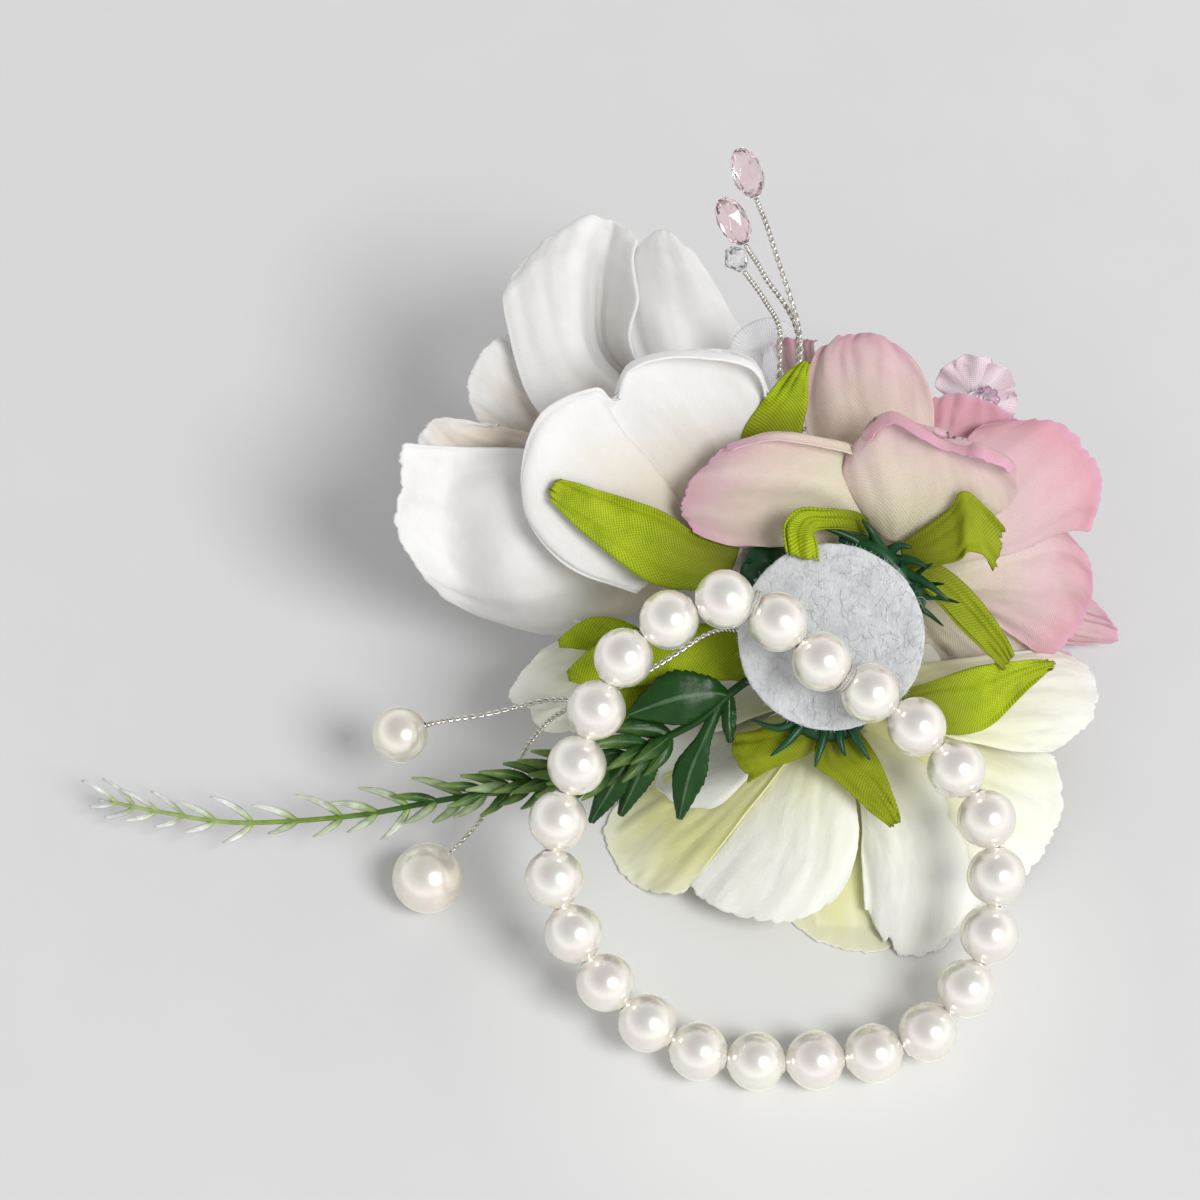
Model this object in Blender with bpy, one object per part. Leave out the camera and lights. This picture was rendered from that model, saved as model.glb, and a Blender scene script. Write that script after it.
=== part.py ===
"""Wrist corsage: three silk blooms, leaves and sprays behind a felt disc, on a bracelet of pearls.

It lies on a table as it was put down, on the rims of its blooms and the front of the bracelet.
Lengths below are millimetres and angles degrees. The plan has x to the right, y away and z up
from the table, and starts on the table under the foremost pearl. Flowers and sprays are placed
from the middle of the felt disc that they are fixed to: to its right, up its face, out of it.
"""

import math
from collections import namedtuple

import bmesh
import bpy
from mathutils import Matrix, Vector
from mathutils.bvhtree import BVHTree

MM = 0.001
PLAY = 0.3

# Moves the plan so that the middle of the corsage's box, at table height, is the origin
SHIFT = Vector((30.15, -58.2, -0.06))

# Bracelet: a ring of pearls that stands on its front edge and leans on the disc
PEARLS = 24
PEARL_WIDTH = 7.9
PEARL_HOLE = 2.6
PEARL_SIDES = 8
PEARL_RINGS = 5
ELASTIC_WIDTH = 0.6
RING_LEAN = 35.0
# Its middle line: to the right, up the leaning plane, and out of that plane
RING_ROUTE = (
    (0, 0, 0), (-16.9, 1.5, 0), (-29.7, 11.7, 0), (-36.4, 27, 0.2), (-32.5, 42.9, 0.7),
    (-25.7, 57.4, 1.4), (-11.4, 64.4, 1.9), (1.7, 54.9, 1.2), (14, 46.4, -0.7),
    (23.9, 33, -1.5), (24, 16.9, -1.2), (15.6, 3.8, -0.6),
)

# Felt disc and the glue behind it
DISC_MIDDLE = Vector((2.3, 51.0, 33.2))
DISC_LEAN = 30.0
DISC_WIDTH = 26.0
DISC_THICK = 1.5
PAD_MIDDLE = (1.5, 3.0)
PAD_WIDTH = 19.0
PAD_THICK = 2.2

# Threads that tie the bracelet to the disc, each between two pearls
STITCHES = (12.5, 14.5)
STITCH_WIDTH = 0.5
STITCH_LOOP = 1.95

# Cloth
PETAL_THICK = 0.7
LEAF_THICK = 0.65
PETAL_ROOT = 0.7
CORE_BACK = 0.6
OUTER_GRID = (5, 4)
INNER_GRID = (3, 3)
TINY_GRID = (2, 2)
CORE_GRID = (8, 5)
LOWEST_CLOTH = 0.4
LEAF_LIFT = 2.1
PETAL_LIFT = 3.4

RIGHT = Vector((1.0, 0.0, 0.0))
UP = Vector((0.0, math.cos(math.radians(DISC_LEAN)), math.sin(math.radians(DISC_LEAN))))
OUT = RIGHT.cross(UP)
OUT_OF_DISC = Vector((0.0, 0.0, 1.0))

Petal = namedtuple(
    "Petal",
    "turn lean flare length spread cup wave phase roll notch left right twist belly round grid over",
    defaults=(0, 40, 60, 30, 45, 30, 1.0, 0, 0, 0, 0, 0, 0, 0.3, 0.2, OUTER_GRID, False),
)
Bloom = namedtuple("Bloom", "base toward tilt core petals")

WHITE = Bloom((-12, 12.5, -12), 308, 55, 4.8, (
    Petal(turn=290, lean=66, flare=46, length=35, spread=50, cup=40, notch=0.06, roll=2, right=-20),
    Petal(turn=250, lean=48, flare=58, length=49, spread=27, cup=40, wave=1.2, belly=0.7),
    Petal(turn=346, lean=30, flare=32, length=54, spread=20, cup=50, right=40, round=0.1),
    Petal(turn=26, lean=34, flare=38, length=53, spread=20, cup=45, belly=0.6, round=0.3),
    Petal(turn=290, lean=33, flare=34, length=46, spread=20, cup=40),
    Petal(turn=256, lean=42, flare=46, length=45, spread=22, cup=40),
    Petal(turn=70, lean=46, flare=50, length=38, spread=36, cup=40, grid=INNER_GRID),
    Petal(turn=118, lean=36, flare=40, length=36, spread=36, cup=45, grid=INNER_GRID),
    Petal(turn=170, lean=38, flare=40, length=37, spread=36, cup=45, grid=INNER_GRID),
    Petal(turn=20, lean=16, flare=22, length=34, spread=34, cup=70, grid=INNER_GRID),
    Petal(turn=140, lean=16, flare=22, length=30, spread=34, cup=70, grid=INNER_GRID),
    Petal(turn=260, lean=16, flare=22, length=34, spread=34, cup=70, grid=INNER_GRID),
))
PINK = Bloom((10, 8.5, -12), 8, 38, 4.6, (
    Petal(turn=305, lean=97, flare=84, length=35, spread=19, cup=30, belly=0.7,
          grid=(6, 5), over=True),
    Petal(turn=352, lean=62, flare=68, length=37, spread=19, cup=30, belly=0.6),
    Petal(turn=27, lean=92, flare=80, length=28, spread=38, cup=50, roll=-3),
    Petal(turn=70, lean=72, flare=60, length=33, spread=33, cup=30, belly=0.4),
    Petal(turn=119, lean=74, flare=66, length=32, spread=33, cup=30, belly=0.4),
    Petal(turn=142, lean=54, flare=62, length=35, spread=26, cup=30),
    Petal(turn=116, lean=55, flare=58, length=37, spread=20, cup=30),
    Petal(turn=45, lean=60, flare=62, length=31, spread=24, cup=30),
    Petal(turn=190, lean=50, flare=55, length=28, spread=36, cup=40, grid=INNER_GRID),
    Petal(turn=238, lean=52, flare=55, length=28, spread=36, cup=40, grid=INNER_GRID),
    Petal(turn=0, lean=24, flare=34, length=22, spread=34, cup=60, grid=INNER_GRID),
    Petal(turn=120, lean=24, flare=34, length=22, spread=34, cup=60, grid=INNER_GRID),
    Petal(turn=240, lean=24, flare=34, length=22, spread=34, cup=60, grid=INNER_GRID),
))
CREAM = Bloom((0, -9, -11), 172, 50, 4.6, (
    Petal(turn=208, lean=56, flare=46, length=34, spread=33, cup=30, belly=0.4),
    Petal(turn=150, lean=52, flare=42, length=38, spread=28, cup=40, belly=0.4),
    Petal(turn=244, lean=62, flare=60, length=36, spread=28, cup=30),
    Petal(turn=112, lean=64, flare=62, length=36, spread=30, cup=30),
    Petal(turn=71, lean=79, flare=68, length=38, spread=26, cup=30),
    Petal(turn=180, lean=38, flare=38, length=36, spread=22, cup=30),
    Petal(turn=20, lean=68, flare=74, length=26, spread=34, cup=30, grid=INNER_GRID),
    Petal(turn=320, lean=66, flare=74, length=26, spread=34, cup=30, grid=INNER_GRID),
    Petal(turn=278, lean=58, flare=66, length=30, spread=30, cup=30),
    Petal(turn=30, lean=30, flare=50, length=14, spread=40, cup=40, grid=INNER_GRID),
    Petal(turn=150, lean=30, flare=50, length=14, spread=40, cup=40, grid=INNER_GRID),
    Petal(turn=270, lean=30, flare=50, length=14, spread=40, cup=40, grid=INNER_GRID),
))
BUD = Bloom((-27, -4, -15), 262, 62, 3.0, (
    Petal(turn=300, lean=42, flare=28, length=17, spread=34, cup=60, grid=INNER_GRID),
    Petal(turn=215, lean=42, flare=30, length=17, spread=34, cup=60, grid=INNER_GRID),
    Petal(turn=75, lean=36, flare=28, length=15, spread=40, cup=60, grid=INNER_GRID),
    Petal(turn=150, lean=36, flare=28, length=15, spread=40, cup=60, grid=INNER_GRID),
))

# A calyx is a cup behind the bloom on a stub that reaches the glue, with spikes round its rim
Calyx = namedtuple("Calyx", "stub reach tip turns")
CUP_OUTLINE = ((1.5, -8.4), (2.4, -8.0), (4.4, -5.3), (4.4, -4.2))
WHITE_CALYX = Calyx(11.3, 7.5, -6.6, (100, 145, 235, 280))
PINK_CALYX = Calyx(8.6, 9.0, -6.6, (8, 36, 62, 88, 120, 160, 200))
CREAM_CALYX = Calyx(8.6, 9.6, -1.6, (128, 150, 184, 210, 240))

# Sepals: the route of each midrib as (right, up, out, width), once it has left the hub's plane
SEPAL_HUB = 3.5
SEPAL_LEAVES_AT = 5.6
SEPAL_ROOT_WIDTH = 4.4
WHITE_SEPALS = (
    ((-18, 9.6, -8.2, 9.5), (-25.1, 12.8, -5.6, 10), (-32.2, 17.3, -3, 7), (-39.9, 21, -0.3, 1.2)),
    ((-8.3, 23.4, -8, 8.5), (-6.9, 30.5, -7.4, 7), (-2.9, 38.6, -6.3, 1)),
)
PINK_SEPALS = (
    ((4.7, 14.8, -5.5, 6), (-0.7, 16.9, -3.6, 6), (-3.5, 16, -1.2, 5.5), (-4.4, 13.4, 0.9, 5),
     (-4.4, 10.7, 1.2, 4.2)),
    ((14.2, 11.9, -6, 7.5), (18.7, 15.2, -1.5, 9), (24.2, 13.1, -3, 6.5)),
    ((18.9, 4.4, -10, 3.4), (23.3, 0.6, -11.5, 3.2), (26.3, -4.7, -12.3, 2)),
)
CREAM_SEPALS = (
    ((10, -9.4, -7.8, 7.6), (16, -9.5, -10.2, 8.4), (25, -7.7, -13.8, 6.5), (33, -4.1, -18, 1)),
    ((-5.3, -14, -8.4, 7), (-8.8, -16.4, -10.2, 7), (-13, -17.2, -11.8, 4)),
    ((1.6, -15.3, -5.2, 8), (5, -21, -5.4, 7), (9.7, -26, -2.4, 1.5)),
    ((-10.5, -3.4, -8.9, 6.5), (-18.1, -2.1, -8.6, 8.5), (-25.1, -2.8, -7.8, 8),
     (-32.2, -4.4, -7.4, 6), (-36.7, -5.6, -7.5, 1.2)),
)
BUD_SEPALS = (
    ((-24.4, -3.7, -12.6, 3), (-28, -1, -10.4, 5), (-33, 0.2, -10.2, 5), (-38, -1, -9.8, 1)),
    ((-24.4, -4.2, -12.6, 3), (-27, -8, -10.8, 4.5), (-30.5, -10.6, -10.6, 4), (-34, -13, -10, 1)),
)
BUD_STEM = ((-6.5, 3, -5.4), (-11.5, 3.2, -9.8), (-18, -0.6, -13), (-24.6, -3.6, -12.9))

# Plastic sprig: a stem with whorls of small leaves, and larger leaves near its root
SPRIG_STEM = (
    (-4.5, -2, -5.1), (-9, -4.6, -5.7), (-13.2, -7.5, -6.3), (-18.1, -11.7, -6.1), (-25.1, -15.3, -6.4),
    (-32.2, -18.9, -6.7), (-38.9, -20, -7.8), (-47, -21.8, -8.4), (-56.1, -23.5, -9.7),
    (-67.6, -25.6, -11.5), (-83.7, -26.7, -14.3), (-95.3, -25.3, -16.8), (-102.5, -24, -18.7),
)
SPRIG_WIDTH = 1.5
SPRIG_WHORLS = 15
SPRIG_FIRST = 0.3
SPRIG_LEAF = (9.0, 5.4)
SPRIG_LEANS = 48.0
SPRIG_LEAVES = (
    ((-14.2, -8.3, -6, 1.5), (-17, -8, -4.9, 5), (-22, -8.8, -4.4, 7.4), (-28.2, -11, -4.6, 0.8)),
    ((-15.5, -9.6, -6, 1.5), (-17.5, -14.3, -5.2, 2), (-19.6, -19.5, -6, 4.6), (-21, -25.8, -7.4, 0.8)),
    ((-14, -8.6, -6.2, 1.5), (-14, -12, -6.2, 2), (-13.8, -15, -6.4, 0.6)),
    ((-24.4, -15.2, -6.4, 1.5), (-26.4, -19, -6.6, 4.2), (-29.3, -25.4, -8.8, 0.8)),
    ((-28.4, -17, -6.5, 1.5), (-30.4, -21, -6.3, 3.8), (-33.5, -26.4, -9.3, 0.8)),
    ((-22.5, -14, -6.3, 1.5), (-26, -12.6, -5.6, 3), (-30, -13, -5.4, 0.8)),
)

# Wire sprays
WIRE_WIDTH = 0.9
PEARL_SPRAY = (
    ((-6, 0, -4.9), (-9.8, -0.2, -4.9), (-13, 0.8, -3.5), (-17, 0.4, -2.8), (-23.5, -3.6, -3.2),
     (-28.5, -6.6, -5.4), (-33.6, -8.8, -8.8), (-40, -9.1, -10.6), (-48, -11, -11.3),
     (-55, -12.2, -12.4), (-58.2, -13.1, -12.9)),
    ((-33.6, -8.8, -8.8), (-38.6, -11.4, -11.3), (-42.1, -15.1, -13.4), (-45.8, -21.4, -15.6),
     (-49.3, -26.4, -14.5), (-54.2, -31.8, -13.2)),
)
SMALL_SPRAY_PEARL = ((-60.7, -14.1, -13.3), 8.0)
LARGE_SPRAY_PEARL = ((-56.8, -34.5, -12.7), 10.0)
CRYSTAL_SPRAY = (
    ((-1, 1.5, -4.9), (-2.2, 6, -9.6), (-3.8, 12, -11.8), (-5.6, 20, -12.5), (-5, 30, -10.8), (-3.8, 42.4, -10.9),
     (-7.4, 54.7, -9.9), (-10, 61.9, -9.4)),
    ((-5.6, 20, -12.5), (-5.4, 30, -11.8), (-4, 42.8, -12.3), (-8.8, 51.2, -10.9), (-11.5, 55.4, -10.3)),
    ((-5.6, 20, -12.5), (-7, 30, -11.6), (-6.6, 42.8, -12), (-8.7, 47.8, -12), (-11.6, 51.8, -11.8)),
    ((-5.3, 25, -11.8), (-4.6, 28, -14.5), (-1, 30.5, -18.5), (8, 32.4, -20.5), (16, 32.4, -19),
     (21.2, 32.8, -15.6)),
)
PINK_CRYSTALS = (
    ((-10, 61.9, -9.4), (-11.4, 65.8, -9.4)),
    ((-11.5, 55.4, -10.3), (-13.2, 58.6, -9.8)),
)
CLEAR_CRYSTAL = ((-11.6, 51.8, -11.8), (-13, 53.9, -11.7))
PINK_CRYSTAL_OUTLINE = ((0.7, -3.6), (2.2, -1.2), (2.2, 1.2), (0.7, 3.6))
CLEAR_CRYSTAL_OUTLINE = ((0.6, -1.9), (1.9, -0.4), (1.9, 0.4), (0.6, 1.9))
BLOSSOM = Bloom((21.6, 33.8, -16.9), 20, 30, 1.8, tuple(
    Petal(turn=turn, lean=62, flare=78, length=6.2, spread=34, cup=50, grid=TINY_GRID)
    for turn in (308, 358, 60, 112, 190)
))
RIBBON = (
    (-6.8, 22, -13.4, 3), (-8, 30, -14.8, 4.6), (-10.6, 37, -17.4, 5), (-11, 41.4, -18.8, 5),
    (-8, 43.4, -19.2, 5), (-6, 42.2, -17.4, 5), (-6.8, 38, -15.6, 4.6), (-7.8, 31, -13.4, 3.4),
)


def from_disc(right, up, out):
    """A point of the plan, counted from the middle of the disc's outer face."""
    return DISC_MIDDLE + right * RIGHT + up * UP + out * OUT


def to_disc(place):
    """The same, the other way round."""
    away = place - DISC_MIDDLE
    return Vector((away.dot(RIGHT), away.dot(UP), away.dot(OUT)))


def material(name, colour, roughness=0.6, metallic=0.0, alpha=1.0):
    made = bpy.data.materials.new(name)
    made.use_nodes = True
    made.diffuse_color = (*colour, alpha)
    shader = made.node_tree.nodes["Principled BSDF"]
    shader.inputs["Base Color"].default_value = (*colour, 1.0)
    shader.inputs["Roughness"].default_value = roughness
    shader.inputs["Metallic"].default_value = metallic
    shader.inputs["Alpha"].default_value = alpha
    return made


def new_object(name, shape, finish, corsage):
    """An object of this bmesh, whose points are millimetres of the plan."""
    mesh = bpy.data.meshes.new(name)
    bmesh.ops.scale(shape, vec=(MM, MM, MM), verts=shape.verts)
    bmesh.ops.recalc_face_normals(shape, faces=shape.faces)
    shape.to_mesh(mesh)
    shape.free()
    made = bpy.data.objects.new(name, mesh)
    made.parent = corsage
    mesh.materials.append(finish)
    bpy.context.scene.collection.objects.link(made)
    return made


def applied(obj):
    """Replaces an object's mesh with the one that its modifiers make."""
    graph = bpy.context.evaluated_depsgraph_get()
    mesh = bpy.data.meshes.new_from_object(obj.evaluated_get(graph))
    obj.modifiers.clear()
    obj.data = mesh
    return obj


def fused(body, parts):
    """One solid of the body and the parts that grow from it."""
    group = bpy.data.collections.new(body.name + " parts")
    bpy.context.scene.collection.children.link(group)
    for part in parts:
        for holder in part.users_collection:
            holder.objects.unlink(part)
        group.objects.link(part)
    union = body.modifiers.new("join", "BOOLEAN")
    union.operation = "UNION"
    union.solver = "MANIFOLD"
    union.operand_type = "COLLECTION"
    union.collection = group
    applied(body)
    for part in parts:
        bpy.data.objects.remove(part)
    bpy.data.collections.remove(group)
    return body


def turned(outline, sides):
    """A bmesh turned round the Z axis from an outline of (radius, height), bottom to top."""
    shape = bmesh.new()
    points = [shape.verts.new((radius, 0.0, height)) for radius, height in outline]
    edges = [shape.edges.new(pair) for pair in zip(points, points[1:])]
    if outline[0][0] > 0 and outline[-1][0] > 0:
        edges.append(shape.edges.new((points[-1], points[0])))
    bmesh.ops.spin(
        shape, geom=points + edges, axis=(0, 0, 1), cent=(0, 0, 0), angle=math.tau, steps=sides,
        use_merge=True,
    )
    bmesh.ops.remove_doubles(shape, verts=shape.verts, dist=0.001)
    return shape


def placed(shape, origin, axis, top=UP):
    """Moves a shape that is built along +Z to this origin and axis."""
    up = (top - axis * top.dot(axis)).normalized()
    turn = Matrix((up.cross(axis), up, axis)).transposed().to_4x4()
    bmesh.ops.transform(shape, matrix=Matrix.Translation(origin) @ turn, verts=shape.verts)
    return shape


def smooth(before, start, end, after, t):
    """Point at t, from 0 to 1, of the smooth curve from start to end."""
    return 0.5 * (
        2 * start + (end - before) * t + (2 * before - 5 * start + 4 * end - after) * t * t
        + (3 * start - before - 3 * end + after) * t ** 3
    )


def smooth_closed(points, share):
    """Point of the smooth closed curve through these points, at this share of the way round."""
    count = len(points)
    index = math.floor(share * count)
    four = [points[(index + step) % count] for step in (-1, 0, 1, 2)]
    return smooth(*four, share * count - index)


def smooth_open(points, share):
    """Point of the smooth curve through these points, at this share of the way from end to end."""
    last = len(points) - 1
    index = min(math.floor(share * last), last - 1)
    four = [Vector(points[min(max(index + step, 0), last)]) for step in (-1, 0, 1, 2)]
    return smooth(*four, share * last - index)


def run_of(points, share):
    """Unit direction of that curve there."""
    return (
        smooth_open(points, min(share + 0.01, 1)) - smooth_open(points, max(share - 0.01, 0))
    ).to_3d().normalized()


def bracelet_path(count):
    """Evenly spaced points round the middle line of the bracelet."""
    lean = math.radians(RING_LEAN)
    route = [
        Vector((
            x, far * math.cos(lean) - off * math.sin(lean),
            PEARL_WIDTH / 2 + far * math.sin(lean) + off * math.cos(lean),
        ))
        for x, far, off in RING_ROUTE
    ]
    fine = [smooth_closed(route, step / 960) for step in range(961)]
    lengths = [0.0]
    for here, there in zip(fine, fine[1:]):
        lengths.append(lengths[-1] + (there - here).length)
    path, index = [], 0
    for step in range(count):
        wanted = lengths[-1] * step / count
        while lengths[index + 1] < wanted:
            index += 1
        part = (wanted - lengths[index]) / (lengths[index + 1] - lengths[index])
        path.append(fine[index].lerp(fine[index + 1], part))
    return path


def petal_point(petal, root, u, v):
    """Where a flat petal's point goes: along the bloom's radius, along its axis, and sideways.

    u runs from -1 to 1 across the petal and v from 0 at its root to 1 at its rim."""
    rim = 1 - petal.round * abs(u) ** 3 - petal.notch * math.exp(-((u / 0.22) ** 2))
    reach = root + (petal.length - root) * v
    reach *= 1 + (rim - 1) * v * v
    angle = math.radians(petal.spread) * u
    along = reach * math.cos(angle)
    across = reach * math.sin(angle) * (1 + 4 * petal.belly * v * (1 - v))
    half = petal.length * math.sin(math.radians(petal.spread))
    t = across / half
    bend = math.radians(petal.cup)
    curl = petal.left if t < 0 else petal.right
    edge = max(0.0, abs(t) - 0.45) / 0.55
    inward = half * ((1 - math.cos(bend * t)) / bend) - half * math.radians(curl) * 0.5 * edge ** 2
    sideways = half * math.sin(bend * t) / bend * (1 - 0.3 * abs(math.radians(curl)) * edge ** 2)
    outward = petal.wave * v * v * math.sin(2.2 * math.pi * u + math.radians(petal.phase))
    outward += petal.twist * t * v
    tip = max(0.0, v - 0.7) / 0.3
    outward += petal.roll * tip ** 2 - inward
    along -= 0.4 * abs(petal.roll) * tip ** 2
    start, end = math.radians(petal.lean), math.radians(petal.flare)
    curve = (end - start) / petal.length or 1e-6
    lean = start + curve * along
    radial = (math.cos(start) - math.cos(lean)) / curve + outward * math.cos(lean)
    axial = (math.sin(lean) - math.sin(start)) / curve - outward * math.sin(lean)
    return radial, axial, sideways


def bloom_frame(bloom):
    """Base point, facing direction, and the two directions that a petal's turn is counted from.

    A bloom faces away from the disc, tilted towards a clock direction of the disc's face: 0 is
    up and 90 to the right. A petal's turn is the same clock, seen from behind the bloom."""
    toward, tilt = math.radians(bloom.toward), math.radians(bloom.tilt)
    sideways = UP * math.cos(toward) + RIGHT * math.sin(toward)
    facing = sideways * math.sin(tilt) - OUT * math.cos(tilt)
    top = (UP - facing * UP.dot(facing)).normalized()
    return from_disc(*bloom.base), facing, top, facing.cross(top)


def surface_of(*things):
    """What a petal or leaf can be laid on: the faces of these things, in metres of the plan."""
    shape = bmesh.new()
    for thing in things:
        shape.from_mesh(thing.data)
    surface = BVHTree.FromBMesh(shape)
    shape.free()
    return surface


def laid(point, bed, lift):
    """The point, raised out of the disc's plane where it isn't this far above the bed."""
    place = to_disc(point)
    found = bed.ray_cast(from_disc(place.x, place.y, 20) * MM, -OUT)[0]
    if not found:
        return point
    return from_disc(place.x, place.y, max(place.z, to_disc(found / MM).z + lift))


def blade(name, petal, root, frame, finish, corsage, bed=None):
    """One cloth petal as a thin solid, whose root starts this far inside the bloom's core."""
    base, facing, top, right = frame
    turn = math.radians(petal.turn)
    outward = top * math.cos(turn) + right * math.sin(turn)
    sideways = right * math.cos(turn) - top * math.sin(turn)
    shape = bmesh.new()
    bmesh.ops.create_grid(shape, x_segments=petal.grid[0], y_segments=petal.grid[1], size=1)
    for vert in shape.verts:
        share = (vert.co.y + 1) / 2
        radial, axial, side = petal_point(petal, root, vert.co.x, share)
        vert.co = base + outward * radial + facing * axial + sideways * side
        if petal.over and share > 0:
            vert.co = laid(vert.co, bed, PETAL_LIFT)
        vert.co.z = max(vert.co.z, LOWEST_CLOTH)
    bmesh.ops.triangulate(shape, faces=shape.faces, quad_method="FIXED")
    made = new_object(name, shape, finish, corsage)
    wall = made.modifiers.new("cloth", "SOLIDIFY")
    wall.thickness = PETAL_THICK * MM
    wall.offset = 0
    return made


def leaf_blade(name, route, finish, corsage, columns=2, root=OUT_OF_DISC, fold=0.5, bed=None):
    """One leaf along its midrib as a thin solid, folded a little along it.

    The route holds (right, up, out, width) points. The blade faces root's way at its root, in
    the disc's directions, and turns out of the disc towards its tip. It lies clear of its bed."""
    shape = bmesh.new()
    rows = len(route) + 1
    bmesh.ops.create_grid(shape, x_segments=columns, y_segments=rows, size=1)
    for vert in shape.verts:
        share = (vert.co.y + 1) / 2
        facing = root.lerp(OUT_OF_DISC, min(1, 1.8 * max(0, share - 1 / rows))).normalized()
        across = run_of(route, share).cross(facing).normalized()
        facing = across.cross(run_of(route, share))
        middle = smooth_open(route, share)
        half = middle[3] / 2
        place = middle.to_3d() + across * half * vert.co.x - facing * fold * abs(vert.co.x)
        vert.co = from_disc(*place)
        if bed and share > 1 / rows:
            vert.co = laid(vert.co, bed, LEAF_LIFT)
        vert.co.z = max(vert.co.z, LOWEST_CLOTH)
    bmesh.ops.triangulate(shape, faces=shape.faces, quad_method="FIXED")
    made = new_object(name, shape, finish, corsage)
    wall = made.modifiers.new("cloth", "SOLIDIFY")
    wall.thickness = LEAF_THICK * MM
    wall.offset = 0
    return made


def rod(name, route, width, finish, corsage, steps=8, sides=4, tip=1.0):
    """A round rod along a smooth route of (right, up, out) points, tapering to tip at its end."""
    line = bpy.data.curves.new(name, "CURVE")
    line.dimensions = "3D"
    line.bevel_depth = width / 2 * MM
    line.bevel_resolution = sides // 2 - 2
    line.use_fill_caps = True
    spline = line.splines.new("POLY")
    spline.points.add(steps)
    for step, point in enumerate(spline.points):
        point.co = (*(from_disc(*smooth_open(route, step / steps)) * MM), 1.0)
        point.radius = 1 + (tip - 1) * step / steps
    guide = bpy.data.objects.new(name, line)
    bpy.context.scene.collection.objects.link(guide)
    mesh = bpy.data.meshes.new_from_object(
        guide.evaluated_get(bpy.context.evaluated_depsgraph_get())
    )
    bpy.data.objects.remove(guide)
    shape = bmesh.new()
    shape.from_mesh(mesh)
    bpy.data.meshes.remove(mesh)
    bmesh.ops.remove_doubles(shape, verts=shape.verts, dist=0.001 * MM)
    bmesh.ops.scale(shape, vec=(1 / MM, 1 / MM, 1 / MM), verts=shape.verts)
    return new_object(name, shape, finish, corsage)


def make_bloom(name, bloom, finish, corsage, bed=None):
    frame = bloom_frame(bloom)
    shape = bmesh.new()
    columns, rows = CORE_GRID
    bmesh.ops.create_uvsphere(shape, u_segments=columns, v_segments=rows, radius=bloom.core)
    for vert in shape.verts:
        vert.co.z *= CORE_BACK if vert.co.z < 0 else 1
    heart = new_object(name, placed(shape, frame[0], frame[1]), finish, corsage)
    petals = [
        blade(f"{name} petal {number}", petal, PETAL_ROOT * bloom.core, frame, finish, corsage, bed)
        for number, petal in enumerate(bloom.petals)
    ]
    return fused(heart, petals)


def make_pearls(corsage):
    finish = material("pearl", (0.86, 0.83, 0.78), 0.2)
    radius, hole = PEARL_WIDTH / 2, PEARL_HOLE / 2
    end = math.asin(hole / radius)
    steps = PEARL_RINGS
    outline = [
        (radius * math.sin(end + (math.pi - 2 * end) * step / steps),
         -radius * math.cos(end + (math.pi - 2 * end) * step / steps))
        for step in range(steps + 1)
    ]
    path = bracelet_path(PEARLS)
    for number, middle in enumerate(path):
        axis = (path[(number + 1) % PEARLS] - path[number - 1]).normalized()
        shape = placed(turned(outline, PEARL_SIDES), middle, axis)
        pearl = new_object(f"pearl_{number + 1:02d}", shape, finish, corsage)
        pearl.data.shade_smooth()
        pearl.data.set_sharp_from_angle(angle=math.radians(50))


def make_elastic(corsage):
    route = bpy.data.curves.new("elastic_cord", "CURVE")
    route.dimensions = "3D"
    route.bevel_depth = ELASTIC_WIDTH / 2 * MM
    route.bevel_resolution = 0
    line = route.splines.new("POLY")
    path = bracelet_path(2 * PEARLS)
    line.points.add(len(path) - 1)
    for point, place in zip(line.points, path):
        point.co = (*(place * MM), 1.0)
    line.use_cyclic_u = True
    cord = bpy.data.objects.new("elastic_cord", route)
    cord.parent = corsage
    route.materials.append(material("clear_elastic", (0.8, 0.8, 0.8), 0.2))
    bpy.context.scene.collection.objects.link(cord)


def make_disc(corsage):
    shape = bmesh.new()
    bmesh.ops.create_cone(
        shape, cap_ends=True, segments=28, radius1=DISC_WIDTH / 2, radius2=DISC_WIDTH / 2,
        depth=DISC_THICK,
    )
    placed(shape, from_disc(0, 0, -DISC_THICK / 2), OUT)
    new_object("felt_disc", shape, material("felt", (0.55, 0.57, 0.59), 0.95), corsage)


def make_pad(corsage):
    shape = bmesh.new()
    bmesh.ops.create_cone(
        shape, cap_ends=True, segments=16, radius1=PAD_WIDTH / 2, radius2=PAD_WIDTH / 2,
        depth=PAD_THICK,
    )
    placed(shape, from_disc(*PAD_MIDDLE, -DISC_THICK - PLAY - PAD_THICK / 2), OUT)
    new_object("glue_pad", shape, material("glue", (0.75, 0.72, 0.62), 0.4), corsage)


def make_stitches(corsage):
    """A loop of thread round the elastic, with a leg down to the felt."""
    finish = material("thread", (0.85, 0.85, 0.83), 0.8)
    path = bracelet_path(2 * PEARLS)
    for number, place in enumerate(STITCHES):
        index = round(2 * place)
        middle = path[index]
        axis = (path[index + 1] - path[index - 1]).normalized()
        outline = [
            (STITCH_LOOP + STITCH_WIDTH / 2 * math.cos(turn), STITCH_WIDTH / 2 * math.sin(turn))
            for turn in (step * math.tau / 4 for step in range(4))
        ]
        name = f"thread_stitch_{number + 1}"
        loop = new_object(name, placed(turned(outline, 8), middle, axis), finish, corsage)
        height = (middle - DISC_MIDDLE).dot(OUT)
        spot = (middle - DISC_MIDDLE).dot(RIGHT), (middle - DISC_MIDDLE).dot(UP)
        route = ((*spot, height - STITCH_LOOP + 0.1), (*spot, PLAY))
        fused(loop, [rod(f"{name} leg", route, STITCH_WIDTH, finish, corsage, 1)])


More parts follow.
